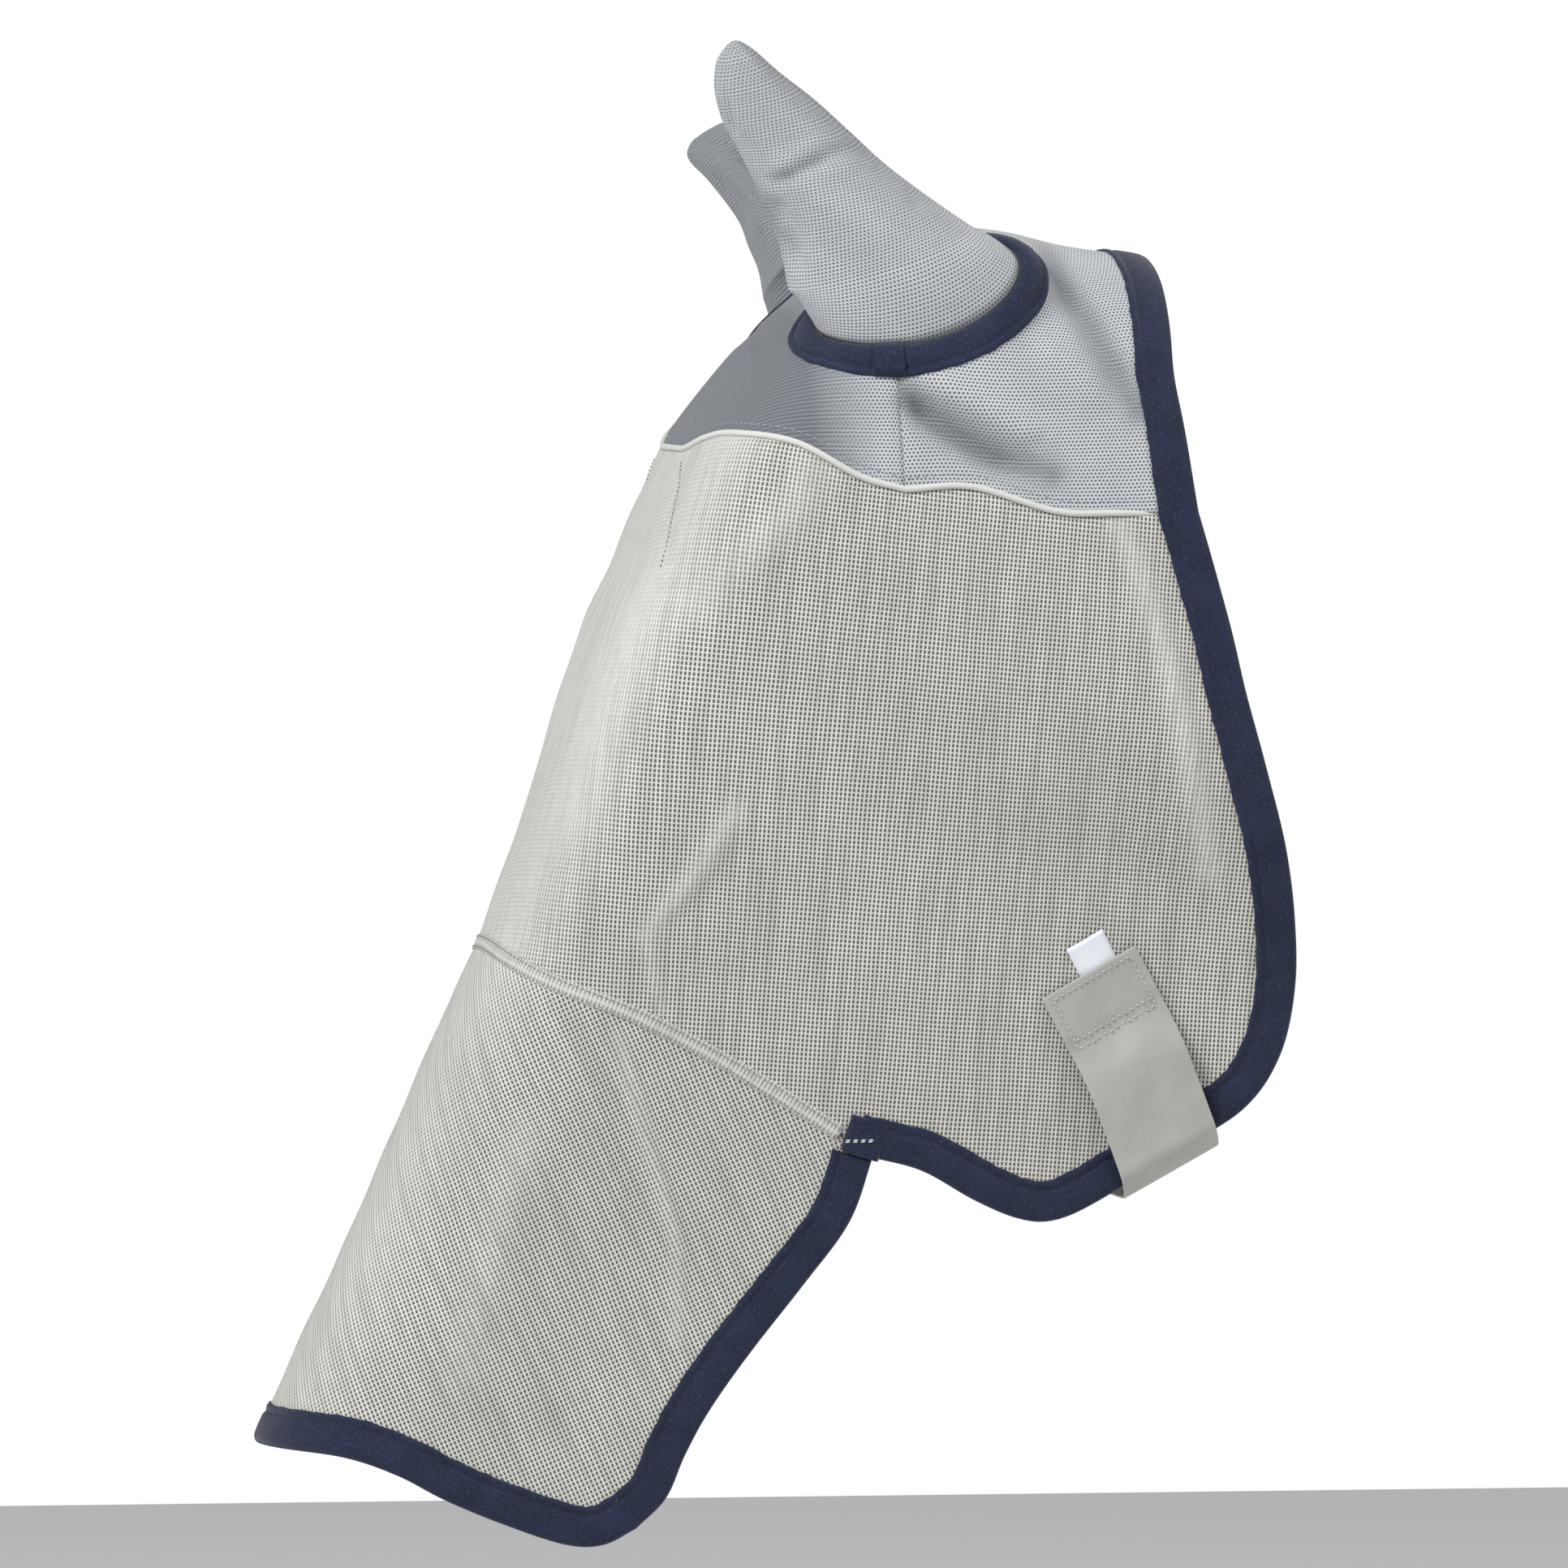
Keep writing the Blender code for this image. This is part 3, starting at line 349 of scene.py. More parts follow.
# Folds and creases of the cloth: line in the side elevation, half width, height off the head
FOLDS = [
    ([(-0.094, -0.060), (-0.0848, -0.0684), (-0.0642, -0.0833), (-0.0417, -0.0964), (-0.0209, -0.1010)],
     0.0075, -0.0085),
    ([(-0.086, -0.051), (-0.0640, -0.0660), (-0.0400, -0.0790), (-0.0150, -0.0890)], 0.0080, 0.0042),
    ([(-0.014, -0.0055), (-0.0008, -0.0307), (0.0107, -0.0526), (0.0200, -0.0720)], 0.0075, -0.0055),
    ([(-0.030, -0.040), (-0.0080, -0.0560), (0.0060, -0.0780)], 0.0080, 0.0020),
    ([(-0.1329, -0.0349), (-0.1403, -0.0406), (-0.1467, -0.0451)], 0.0022, -0.0014),
    ([(-0.2001, -0.1413), (-0.2119, -0.1782), (-0.2218, -0.2150), (-0.2328, -0.2557)], 0.0075, 0.0022),
    ([(-0.1640, -0.2520), (-0.1790, -0.2773), (-0.1896, -0.2922), (-0.2035, -0.3090)], 0.0045, 0.0024),
    ([(-0.1560, -0.2600), (-0.1700, -0.2830), (-0.1810, -0.2980), (-0.1930, -0.3110)], 0.0090, -0.0008),
    ([(-0.2035, -0.3090), (-0.2000, -0.3257), (-0.1955, -0.3430)], 0.0030, 0.0014),
    ([(0.0100, -0.1250), (0.0182, -0.1411), (0.0274, -0.1707), (0.0366, -0.2004), (0.0442, -0.2375),
      (0.0532, -0.2823)], 0.0060, 0.0026),
    ([(-0.0476, -0.1185), (-0.0426, -0.1628), (-0.0370, -0.2073), (-0.0330, -0.2400)], 0.0130, -0.0026),
    ([(-0.1300, -0.1000), (-0.1420, -0.1200), (-0.1620, -0.1380), (-0.1830, -0.1600)], 0.0100, 0.0018),
    ([(-0.1803, -0.0965), (-0.1862, -0.1140), (-0.1906, -0.1295), (-0.1945, -0.1440)], 0.0013, -0.0012),
    ([(-0.0300, -0.3150), (-0.0400, -0.3500), (-0.0420, -0.3900)], 0.0090, -0.0014),
    ([(-0.2150, -0.3560), (-0.2040, -0.3926), (-0.1925, -0.4298), (-0.1867, -0.4595), (-0.1872, -0.4928)],
     0.0036, 0.0030),
    ([(-0.2240, -0.3620), (-0.2150, -0.3990), (-0.2040, -0.4360), (-0.1990, -0.4700)], 0.0070, -0.0020),
    ([(-0.2781, -0.3928), (-0.2896, -0.4297), (-0.2974, -0.4592), (-0.3050, -0.4900)], 0.0100, -0.0022),
    ([(-0.2575, -0.3999), (-0.2668, -0.4369), (-0.2762, -0.4738), (-0.2850, -0.5100)], 0.0090, 0.0018),
    ([(-0.2250, -0.4900), (-0.2300, -0.5200), (-0.2450, -0.5500)], 0.0120, -0.0014),
]
COLLAR_REACH = 0.010


def fold_lift(points):
    """How far the folds and the ear holes' collars carry the cloth off the head."""
    lift = np.zeros(len(points))
    flat = points[:, [0, 2]]
    for line, width, height in FOLDS:
        run = eased(line, 40)
        gap = np.linalg.norm(flat[:, None] - run[None], axis=2)
        near = gap.argmin(axis=1)
        share = near / (len(run) - 1.0)
        ends = np.clip(np.minimum(share, 1.0 - share) / 0.28, 0.0, 1.0)
        lift += height * np.exp(-(gap[np.arange(len(near)), near] / width)**2) * ends**2 * (3 - 2 * ends)
    lift *= np.clip(np.abs(points[:, 1]) / 0.030, 0.0, 1.0)
    lift += 0.0004 * np.sin(31.0 * points[:, 0] + 57.0 * points[:, 2]) * np.sin(83.0 * points[:, 2] + 1.3)
    left = points * np.where(points[:, 1] > 0, -1.0, 1.0)[:, None] ** np.array([0, 1, 0])
    along, across = (left - HOLE) @ HOLE_ALONG, (left - HOLE) @ HOLE_ACROSS
    ring = np.sqrt((along / (HOLE_LENGTH / 2))**2 + (across / (HOLE_WIDTH / 2))**2)
    local = np.sqrt(along**2 + across**2) / np.maximum(ring, 1e-6)
    beyond = np.maximum((ring - 1.0) * local, 0.0)
    rear = np.clip(along / (HOLE_LENGTH / 2 * np.maximum(ring, 1e-6)), 0.0, 1.0)
    near_hole = np.linalg.norm(left - HOLE, axis=1) < 0.11
    return lift + near_hole * (0.0015 + 0.0100 * rear**2) * np.exp(-(beyond / COLLAR_REACH)**2)


def on_cloth(points, lift=0.0):
    """Points of the head carried to the folded cloth, and off it by lift."""
    return points + outward(points) * (fold_lift(points) + lift)[:, None]


def take_up(made):
    """Makes a piece the one that is selected and active."""
    bpy.ops.object.select_all(action="DESELECT")
    made.select_set(True)
    bpy.context.view_layer.objects.active = made


def face_out():
    """Turns the faces of the active piece outwards."""
    bpy.ops.object.mode_set(mode="EDIT")
    bpy.ops.mesh.select_all(action="SELECT")
    bpy.ops.mesh.normals_make_consistent(inside=False)
    bpy.ops.object.mode_set(mode="OBJECT")


def from_grid(name, grid, uv=None):
    """A sheet made from a flat grid whose points are moved to their places."""
    rows, columns = grid.shape[0] - 1, grid.shape[1] - 1
    bpy.ops.object.select_all(action="DESELECT")
    bpy.ops.mesh.primitive_grid_add(x_subdivisions=columns, y_subdivisions=rows, size=1.0, calc_uvs=True)
    made = bpy.context.object
    made.name = name
    flat = np.empty(len(made.data.vertices) * 3)
    made.data.vertices.foreach_get("co", flat)
    flat = flat.reshape(-1, 3)
    column = np.rint((flat[:, 0] + 0.5) * columns).astype(int)
    row = np.rint((flat[:, 1] + 0.5) * rows).astype(int)
    made.data.vertices.foreach_set("co", grid[row, column].ravel())
    if uv is not None:
        corner = np.empty(len(made.data.loops), int)
        made.data.loops.foreach_get("vertex_index", corner)
        made.data.uv_layers[0].data.foreach_set("uv", uv[row, column][corner].ravel())
    made.data.update()
    return made


def cut_flat(made, turn=0.0):
    """Flattens a panel into its paper pattern in metres, upright as it hangs, turned by the grain."""
    bpy.ops.object.mode_set(mode="EDIT")
    bpy.ops.mesh.select_all(action="SELECT")
    bpy.ops.uv.unwrap(method="ANGLE_BASED", margin=0.0)
    bpy.ops.object.mode_set(mode="OBJECT")
    mesh = made.data
    corner = np.empty(len(mesh.loops), int)
    mesh.loops.foreach_get("vertex_index", corner)
    uv = np.empty(len(mesh.loops) * 2)
    mesh.uv_layers[0].data.foreach_get("uv", uv)
    uv = uv.reshape(-1, 2)
    place = np.empty(len(mesh.vertices) * 3)
    mesh.vertices.foreach_get("co", place)
    place = place.reshape(-1, 3)
    quads = corner.reshape(-1, 4)
    flat = uv.reshape(-1, 4, 2)
    d1, d2 = flat[:, 2] - flat[:, 0], flat[:, 3] - flat[:, 1]
    area_flat = 0.5 * np.abs(d1[:, 0] * d2[:, 1] - d1[:, 1] * d2[:, 0]).sum()
    e1, e2 = place[quads[:, 2]] - place[quads[:, 0]], place[quads[:, 3]] - place[quads[:, 1]]
    cross = np.cross(e1, e2)
    area = 0.5 * np.linalg.norm(cross, axis=1).sum()
    sideways = (np.abs(cross[:, 1]) / np.linalg.norm(cross, axis=1))**6
    weight = np.repeat(sideways, 4)[:, None]
    uv = (uv - (uv * weight).sum(axis=0) / weight.sum()) * math.sqrt(area / area_flat)
    side = place[corner][:, [0, 2]]
    side = side - (side * weight).sum(axis=0) / weight.sum()
    best = None
    for flip in (1.0, -1.0):
        tried = uv * np.array([flip, 1.0])
        along = (tried * side * weight).sum()
        turned = ((tried[:, 0] * side[:, 1] - tried[:, 1] * side[:, 0])[:, None] * weight).sum()
        if best is None or math.hypot(along, turned) > best[0]:
            best = (math.hypot(along, turned), math.atan2(turned, along), tried)
    angle = best[1] + turn
    turner = np.array([[math.cos(angle), math.sin(angle)], [-math.sin(angle), math.cos(angle)]])
    mesh.uv_layers[0].data.foreach_set("uv", (best[2] @ turner).ravel())
    return area


def other_half(made):
    """Adds the right half of a piece that is made as its left half."""
    mirror = made.modifiers.new("other_half", "MIRROR")
    mirror.use_axis = (False, True, False)
    mirror.merge_threshold = 0.0001
    bpy.ops.object.modifier_apply(modifier="other_half")


def made_cloth(made, thickness, stuff, mirrored=False):
    """Mirrors a half panel, gives the cloth its thickness and its material."""
    take_up(made)
    if mirrored:
        other_half(made)
    face_out()
    wall = made.modifiers.new("cloth_wall", "SOLIDIFY")
    wall.thickness = thickness
    wall.offset = 0.0
    wall.use_even_offset = True
    bpy.ops.object.modifier_apply(modifier="cloth_wall")
    bpy.ops.object.shade_smooth()
    made.data.materials.append(stuff)
    return made


def attribute(made, name, values):
    """A number for each point of a cloth, for its material."""
    layer = made.data.attributes.new(name, "FLOAT", "POINT")
    layer.data.foreach_set("value", np.asarray(values, np.float32))


def points_of(made):
    flat = np.empty(len(made.data.vertices) * 3)
    made.data.vertices.foreach_get("co", flat)
    return flat.reshape(-1, 3)


class Finish:
    """A material built up from a few sums, for cloth that carries its own pattern coordinates."""

    def __init__(self, name, rough, sheen=0.0, specular=0.3):
        self.material = bpy.data.materials.new(name)
        self.material.use_nodes = True
        self.tree = self.material.node_tree
        self.shader = self.tree.nodes["Principled BSDF"]
        self.shader.inputs["Roughness"].default_value = rough
        self.shader.inputs["Sheen Weight"].default_value = sheen
        self.shader.inputs["Sheen Roughness"].default_value = 0.5
        self.shader.inputs["Specular IOR Level"].default_value = specular
        uv = self.tree.nodes.new("ShaderNodeUVMap")
        uv.uv_map = "UVMap"
        self.uv = uv.outputs["UV"]
        split = self.tree.nodes.new("ShaderNodeSeparateXYZ")
        self.tree.links.new(self.uv, split.inputs[0])
        self.u, self.v = split.outputs["X"], split.outputs["Y"]

    def sum(self, operation, *terms):
        made = self.tree.nodes.new("ShaderNodeMath")
        made.operation = operation
        for socket, term in zip(made.inputs, terms):
            if isinstance(term, (int, float)):
                socket.default_value = term
            else:
                self.tree.links.new(term, socket)
        return made.outputs[0]

    def times(self, first, second):
        return self.sum("MULTIPLY", first, second)

    def plus(self, first, second):
        return self.sum("ADD", first, second)

    def minus(self, first, second):
        return self.sum("SUBTRACT", first, second)

    def stripes(self, socket, pitch):
        """Nought to a half and back, once in each pitch."""
        return self.sum("PINGPONG", self.times(socket, 1.0 / pitch), 0.5)

    def ramp(self, value, low, high, start, end):
        made = self.tree.nodes.new("ShaderNodeMapRange")
        made.interpolation_type = "SMOOTHSTEP"
        self.tree.links.new(value, made.inputs["Value"])
        for key, number in (("From Min", low), ("From Max", high), ("To Min", start), ("To Max", end)):
            made.inputs[key].default_value = number
        return made.outputs["Result"]

    def noise(self, scale, detail=2.0, source=None):
        made = self.tree.nodes.new("ShaderNodeTexNoise")
        made.inputs["Scale"].default_value = scale
        made.inputs["Detail"].default_value = detail
        self.tree.links.new(self.uv if source is None else source, made.inputs["Vector"])
        return made.outputs["Fac"]

    def mixed(self, share, first, second):
        made = self.tree.nodes.new("ShaderNodeMix")
        made.data_type = "RGBA"
        sockets = [socket for socket in made.inputs if socket.enabled]
        self.tree.links.new(share, sockets[0])
        for socket, colour in zip(sockets[1:], (first, second)):
            if isinstance(colour, tuple):
                socket.default_value = (*colour, 1.0)
            else:
                self.tree.links.new(colour, socket)
        return [socket for socket in made.outputs if socket.enabled][0]

    def read(self, name):
        made = self.tree.nodes.new("ShaderNodeAttribute")
        made.attribute_name = name
        return made.outputs["Fac"]

    def colour(self, socket):
        self.tree.links.new(socket, self.shader.inputs["Base Color"])

    def bump(self, height, distance, strength=1.0):
        made = self.tree.nodes.new("ShaderNodeBump")
        made.inputs["Distance"].default_value = distance
        made.inputs["Strength"].default_value = strength
        self.tree.links.new(height, made.inputs["Height"])
        self.tree.links.new(made.outputs["Normal"], self.shader.inputs["Normal"])


def knit_stuff():
    """Blue-grey perforated knit: staggered pin holes painted near black as painted shade of the inside, drawn
    into dark ribs where it is stretched, and painted darker as painted shade in creases and on faces turned from
    the light.
    """
    knit = Finish("perforated_knit", 0.82, sheen=0.25, specular=0.25)
    wander = knit.times(knit.minus(knit.noise(140.0), 0.5), 0.35)
    across = knit.plus(knit.times(knit.u, 1.0 / KNIT_PITCH), wander)
    along = knit.plus(knit.times(knit.v, 1.0 / (KNIT_PITCH * KNIT_ROW)), wander)
    odd = knit.times(knit.sum("FLOORED_MODULO", knit.sum("FLOOR", knit.plus(along, 0.5)), 2.0), 0.5)
    gap_u = knit.sum("PINGPONG", knit.plus(across, odd), 0.5)
    gap_v = knit.sum("PINGPONG", along, 0.5)
    gap = knit.sum("SQRT", knit.plus(knit.times(gap_u, gap_u), knit.times(gap_v, gap_v)))
    pin = knit.ramp(gap, 0.20, 0.35, 1.0, 0.0)
    # This attribute darkens and ribs the knit: stretched knit over the forehead, and painted shade in the poll
    # creases and on the ear faces turned from the light.
    drawn_and_shade = knit.read("drawn_and_shade")
    rib = knit.ramp(knit.stripes(knit.v, KNIT_RIB), 0.05, 0.45, 1.0, 0.0)
    open_pin = knit.times(pin, knit.minus(1.0, knit.times(drawn_and_shade, 0.8)))
    patch = knit.ramp(knit.noise(26.0, 3.0), 0.3, 0.7, 0.0, 1.0)
    ground = knit.mixed(patch, (0.452, 0.468, 0.484), (0.520, 0.534, 0.548))
    ground = knit.mixed(knit.times(drawn_and_shade, 0.95), ground, (0.152, 0.162, 0.178))
    ribbed = knit.mixed(knit.times(knit.times(rib, drawn_and_shade), 0.70), ground, (0.070, 0.080, 0.096))
    fuzz = knit.ramp(knit.noise(900.0, 2.0), 0.35, 0.75, 0.0, 0.22)
    fuzz = knit.times(fuzz, knit.minus(1.0, knit.times(drawn_and_shade, 0.8)))
    ribbed = knit.mixed(fuzz, ribbed, (0.540, 0.565, 0.585))
    # The pin holes are painted near black: painted shade of the inside of the mask seen through them.
    knit.colour(knit.mixed(knit.times(open_pin, 0.92), ribbed, (0.060, 0.070, 0.086)))
    low = knit.plus(open_pin, knit.times(knit.times(rib, drawn_and_shade), 0.6))
    knit.bump(knit.minus(1.0, low), 0.0005, 0.7)
    return knit.material


KNIT = knit_stuff()
brow_fore, brow_aft = split_at(BROW_LINE, BROW_SEAM)
brow_fore, brow_aft = lifted(brow_fore, 60), lifted(brow_aft, 50, from_centre=False)
poll_side, cheek_side = split_at(BACK_EDGE, BROW_BACK)
poll_side, cheek_side = lifted(poll_side, 44), lifted(cheek_side, 150, from_centre=False)
to_front = centre_run(EAR_SEAM_TOP, BROW_FRONT, 60)
to_poll = centre_run(EAR_SEAM_TOP, POLL_EDGE, 34)
foot, head = hole_angle(brow_fore[-1]), hole_angle(to_front[0])
back_turn = -((head - foot) % (2 * math.pi))
front_outer = np.vstack([to_front[:-1], brow_fore])
front_angles = np.linspace(head, head + back_turn + 2 * math.pi, len(front_outer))
front_grid = laid_rows([np.stack(ends) for ends in zip(hole_edge(front_angles), front_outer)], 44)
back_outer = np.vstack([to_poll[:-1], poll_side, brow_aft[::-1][1:]])
back_angles = np.linspace(head, head + back_turn, len(back_outer))
back_grid = laid_rows([np.stack(ends) for ends in zip(hole_edge(back_angles), back_outer)], 44)
SEAM_SINK = 0.0011
for name, node, grid, centre_rows in (("crown_forehead_cloth", "crown_front_panel", front_grid, 60),
                                      ("crown_poll_cloth", "crown_back_panel", back_grid, 34)):
    rows, columns = grid.shape[:2]
    flat = grid.reshape(-1, 3)
    laid = on_cloth(flat).reshape(grid.shape)
    off = outward(flat).reshape(grid.shape)
    for row, depth in ((0, 1.0), (1, 0.45), (-1, 1.0), (-2, 0.45)):
        laid[row] -= off[row] * SEAM_SINK * depth
    laid[:centre_rows, -1, 1] = 0.0
    cloth = from_grid(name, laid)
    crown_area = cut_flat(cloth)
    spots = points_of(cloth)
    drawn_and_crease_shade = np.clip((-0.098 - spots[:, 0]) / 0.032, 0.0, 1.0) * (name == "crown_forehead_cloth")
    # Along the two creases of the poll panel the knit is painted darker and ribbed: painted shade in the creases.
    for line, width, _ in (FOLDS[0], FOLDS[2]):
        gap = np.linalg.norm(spots[:, None, ::2] - eased(line, 40)[None], axis=2).min(axis=1)
        drawn_and_crease_shade += 0.65 * np.exp(-(gap / width)**2) * (name == "crown_poll_cloth")
    attribute(cloth, "drawn_and_shade", drawn_and_crease_shade)
    made_cloth(cloth, KNIT_THICK, KNIT, mirrored=True)
    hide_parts(node)
    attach(cloth, "mask")


# ---------------------------------------------------------------------------------------------
# Ear rings. Navy tape folded round the edge of each ear hole, sewn down near its outer edge.
# Its ends meet low at the side, where the crown's side seam runs into it.
# ---------------------------------------------------------------------------------------------
RING_WIDTH = 0.0135
TAPE_THREAD = 0.0007


def rail(curve, inset, lift, side=1, closed=False):
    """The curve moved across the cloth by inset, to the side given, and off it by lift."""
    across = unit(np.cross(outward(curve), directions(curve, closed)) * side)
    moved = on_head(curve + across * inset)
    return on_cloth(moved, lift)


def tape_profile(width, cloth, groove):
    """Outline of a tape folded round an edge: how far in from the edge, and how far off the cloth."""
    half = cloth / 2
    top = [(width, 0.00015), (width - 0.0004, 0.0011), (groove + 0.0022, 0.0014), (groove + 0.0009, 0.0010),
           (groove, 0.0004), (groove - 0.0009, 0.0010), (groove - 0.0024, 0.0015), (0.0050, 0.0017),
           (0.0018, 0.0016), (0.0002, 0.0013)]
    fold = [(-0.0011, 0.0009), (-0.0016, 0.0)]
    outline = [(inset, half + lift) for inset, lift in top]
    outline += [(inset, lift) for inset, lift in fold]
    return outline + [(inset, -lift) for inset, lift in (outline[::-1])[1:]]


def close_tube(made, gap, stuff, open_ends=True):
    """Joins the seam of a rolled grid, fills its two ends and gives it its material."""
    bpy.ops.object.mode_set(mode="EDIT")
    bpy.ops.mesh.select_all(action="SELECT")
    bpy.ops.mesh.remove_doubles(threshold=gap)
    if open_ends:
        bpy.ops.mesh.select_all(action="DESELECT")
        bpy.ops.mesh.select_non_manifold(extend=False, use_wire=False, use_boundary=True, use_multi_face=False,
                                         use_non_contiguous=False, use_verts=False)
        bpy.ops.mesh.edge_face_add()
    bpy.ops.object.mode_set(mode="OBJECT")
    face_out()
    bpy.ops.object.shade_smooth()
    made.data.materials.append(stuff)
    return made


def folded_tape(name, curve, profile, stuff, side=1, closed=False, ends=None, wobble=0.0):
    """A tape folded round an edge, with pattern coordinates along it and across it in metres."""
    lines = []
    run = run_of(curve)
    across = unit(np.cross(outward(curve), directions(curve, closed)) * side)
    for inset, lift in profile:
        shaken = wobble * np.sin(run * 410.0 + 3 * np.sin(run * 97.0)) * np.sin(run * 171.0 + 1.0)
        stretch = inset if inset < 0.6 * profile[0][0] else inset + shaken
        moved = on_head(curve + across * (stretch[:, None] if np.ndim(stretch) else stretch))
        lines.append(on_cloth(moved, lift))
    lines = np.array(lines)
    if ends is not None:
        lines = ends(lines)
    around = run_of(profile)
    lines = np.concatenate([lines, lines[:1]])
    around = np.append(around, around[-1] + 0.0005)
    if closed:
        lines = np.concatenate([lines, lines[:, :1]], axis=1)
        run = np.append(run, run[-1] + np.linalg.norm(curve[0] - curve[-1]))
    uv = pattern(run, around)
    return close_tube(from_grid(name, lines, uv), 0.00002, stuff, open_ends=not closed)


def mirrored_copy(made, name):
    """The same piece for the other side, with its own mesh."""
    take_up(made)
    bpy.ops.object.duplicate(linked=False)
    copy = bpy.context.object
    copy.name = name
    place = points_of(copy) * OTHER_SIDE
    copy.data.vertices.foreach_set("co", place.ravel())
    bpy.ops.object.mode_set(mode="EDIT")
    bpy.ops.mesh.select_all(action="SELECT")
    bpy.ops.mesh.flip_normals()
    bpy.ops.object.mode_set(mode="OBJECT")
    return copy


def tape_stuff():
    """Navy binding tape: a fine close weave, a little faded and linty, darker in the row of stitches."""
    navy = Finish("navy_binding", 0.85, sheen=0.18, specular=0.18)
    weave = navy.times(navy.stripes(navy.u, TAPE_THREAD), navy.stripes(navy.v, TAPE_THREAD))
    patch = navy.ramp(navy.noise(60.0, 4.0), 0.3, 0.7, 0.0, 1.0)
    ground = navy.mixed(patch, (0.0092, 0.0138, 0.0370), (0.0142, 0.0208, 0.0500))
    lint = navy.ramp(navy.noise(700.0, 3.0), 0.50, 0.75, 0.0, 0.42)
    navy.colour(navy.mixed(lint, ground, (0.055, 0.070, 0.125)))
    navy.bump(navy.plus(weave, navy.times(navy.noise(420.0, 3.0), 0.9)), 0.0006, 0.8)
    return navy.material


NAVY = tape_stuff()
ring_angles = np.linspace(0.0, 2 * math.pi, 160, endpoint=False)
ring_curve = hole_edge(ring_angles)
ring_profile = tape_profile(RING_WIDTH, KNIT_THICK, 0.0098)
left_ring = folded_tape("left_ear_ring_tape", ring_curve, ring_profile, NAVY, -1, closed=True, wobble=0.0003)
right_ring = mirrored_copy(left_ring, "right_ear_ring_tape")
JOIN_PROFILE = [(0.0136, 0.0018), (0.0100, 0.0025), (0.0050, 0.0028), (0.0004, 0.0026), (-0.0018, 0.0018),
                (-0.0020, 0.0008)]
join_angles = hole_angle(brow_fore[-1]) + np.linspace(-0.13, 0.13, 9) - 0.06
join_curve = hole_edge(join_angles)
join_rows = np.array([rail(join_curve, inset, lift, -1) for inset, lift in JOIN_PROFILE])
across_join = np.linspace(0.0, 0.0110, len(join_angles))
join_uv = pattern(across_join, np.linspace(0.0, 0.016, 6))
left_join = made_cloth(from_grid("left_ring_join_tape", join_rows, join_uv), 0.0007, NAVY)
right_join = mirrored_copy(left_join, "right_ring_join_tape")
for side, ring, join in (("left", left_ring, left_join), ("right", right_ring, right_join)):
    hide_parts(f"{side}_ear_ring")
    for piece in (ring, join):
        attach(piece, "mask")


# ---------------------------------------------------------------------------------------------
# Ear covers. Two knit panels, an outer and an inner one, sewn along both edges of the ear. They
# are sewn into the ring at their foot.
# ---------------------------------------------------------------------------------------------
# Front edge, back edge (x, z), middle's y and half thickness, from the foot to the tip
LEFT_EAR = [
    ((-0.1345, -0.0180), (-0.0520, 0.0090), -0.0660, 0.0275),
    ((-0.1405, 0.0060), (-0.0725, 0.0225), -0.0690, 0.0240),
    ((-0.1500, 0.0280), (-0.0930, 0.0375), -0.0710, 0.0195),
    ((-0.1585, 0.0450), (-0.1110, 0.0535), -0.0730, 0.0160),
    ((-0.1660, 0.0580), (-0.1265, 0.0670), -0.0750, 0.0130),
    ((-0.1700, 0.0720), (-0.1425, 0.0790), -0.0770, 0.0100),
    ((-0.1695, 0.0840), (-0.1530, 0.0880), -0.0785, 0.0070),
    ((-0.1660, 0.0925), (-0.1600, 0.0945), -0.0795, 0.0030),
]
RIGHT_EAR = [
    ((-0.1250, -0.0230), (-0.0520, 0.0050), -0.0680, 0.0275),
    ((-0.1260, -0.0100), (-0.0620, 0.0130), -0.0770, 0.0230),
    ((-0.1290, 0.0010), (-0.0720, 0.0210), -0.0870, 0.0190),
    ((-0.1315, 0.0120), (-0.0830, 0.0290), -0.0980, 0.0155),
    ((-0.1370, 0.0225), (-0.0960, 0.0380), -0.1090, 0.0120),
    ((-0.1440, 0.0330), (-0.1090, 0.0465), -0.1200, 0.0090),
    ((-0.1500, 0.0405), (-0.1200, 0.0560), -0.1290, 0.0062),
    ((-0.1520, 0.0480), (-0.1310, 0.0600), -0.1340, 0.0030),
]
EAR_LINES, EAR_COLUMNS = 96, 56
EAR_TIP = 0.93  # share of the ear's length where its tip starts to round off
# Folds of each ear cover: (share of its length, angle) points, half width, height
LEFT_FOLDS = [
    ([(0.40, -2.75), (0.42, -2.20), (0.46, -1.60), (0.50, -0.90), (0.47, -0.35)], 0.050, -0.0022),
    ([(0.44, -2.60), (0.50, -1.90), (0.56, -1.10)], 0.060, 0.0016),
    ([(0.06, -2.95), (0.22, -2.62), (0.36, -2.86)], 0.110, -0.0040),
    ([(0.62, -2.90), (0.78, -2.55), (0.92, -2.50)], 0.060, -0.0016),
    ([(0.18, -0.90), (0.22, -0.50), (0.30, -0.25)], 0.060, -0.0014),
    ([(0.10, -2.10), (0.30, -1.95), (0.55, -2.10), (0.80, -1.90)], 0.090, 0.0012),
]
RIGHT_FOLDS = [
    ([(0.04, 2.50), (0.30, 2.40), (0.60, 2.35), (0.86, 2.30)], 0.090, 0.0042),
    ([(0.06, 1.90), (0.34, 1.85), (0.66, 1.80), (0.90, 1.75)], 0.110, -0.0060),
    ([(0.30, 2.95), (0.55, 2.85), (0.80, 2.80)], 0.060, -0.0020),
]


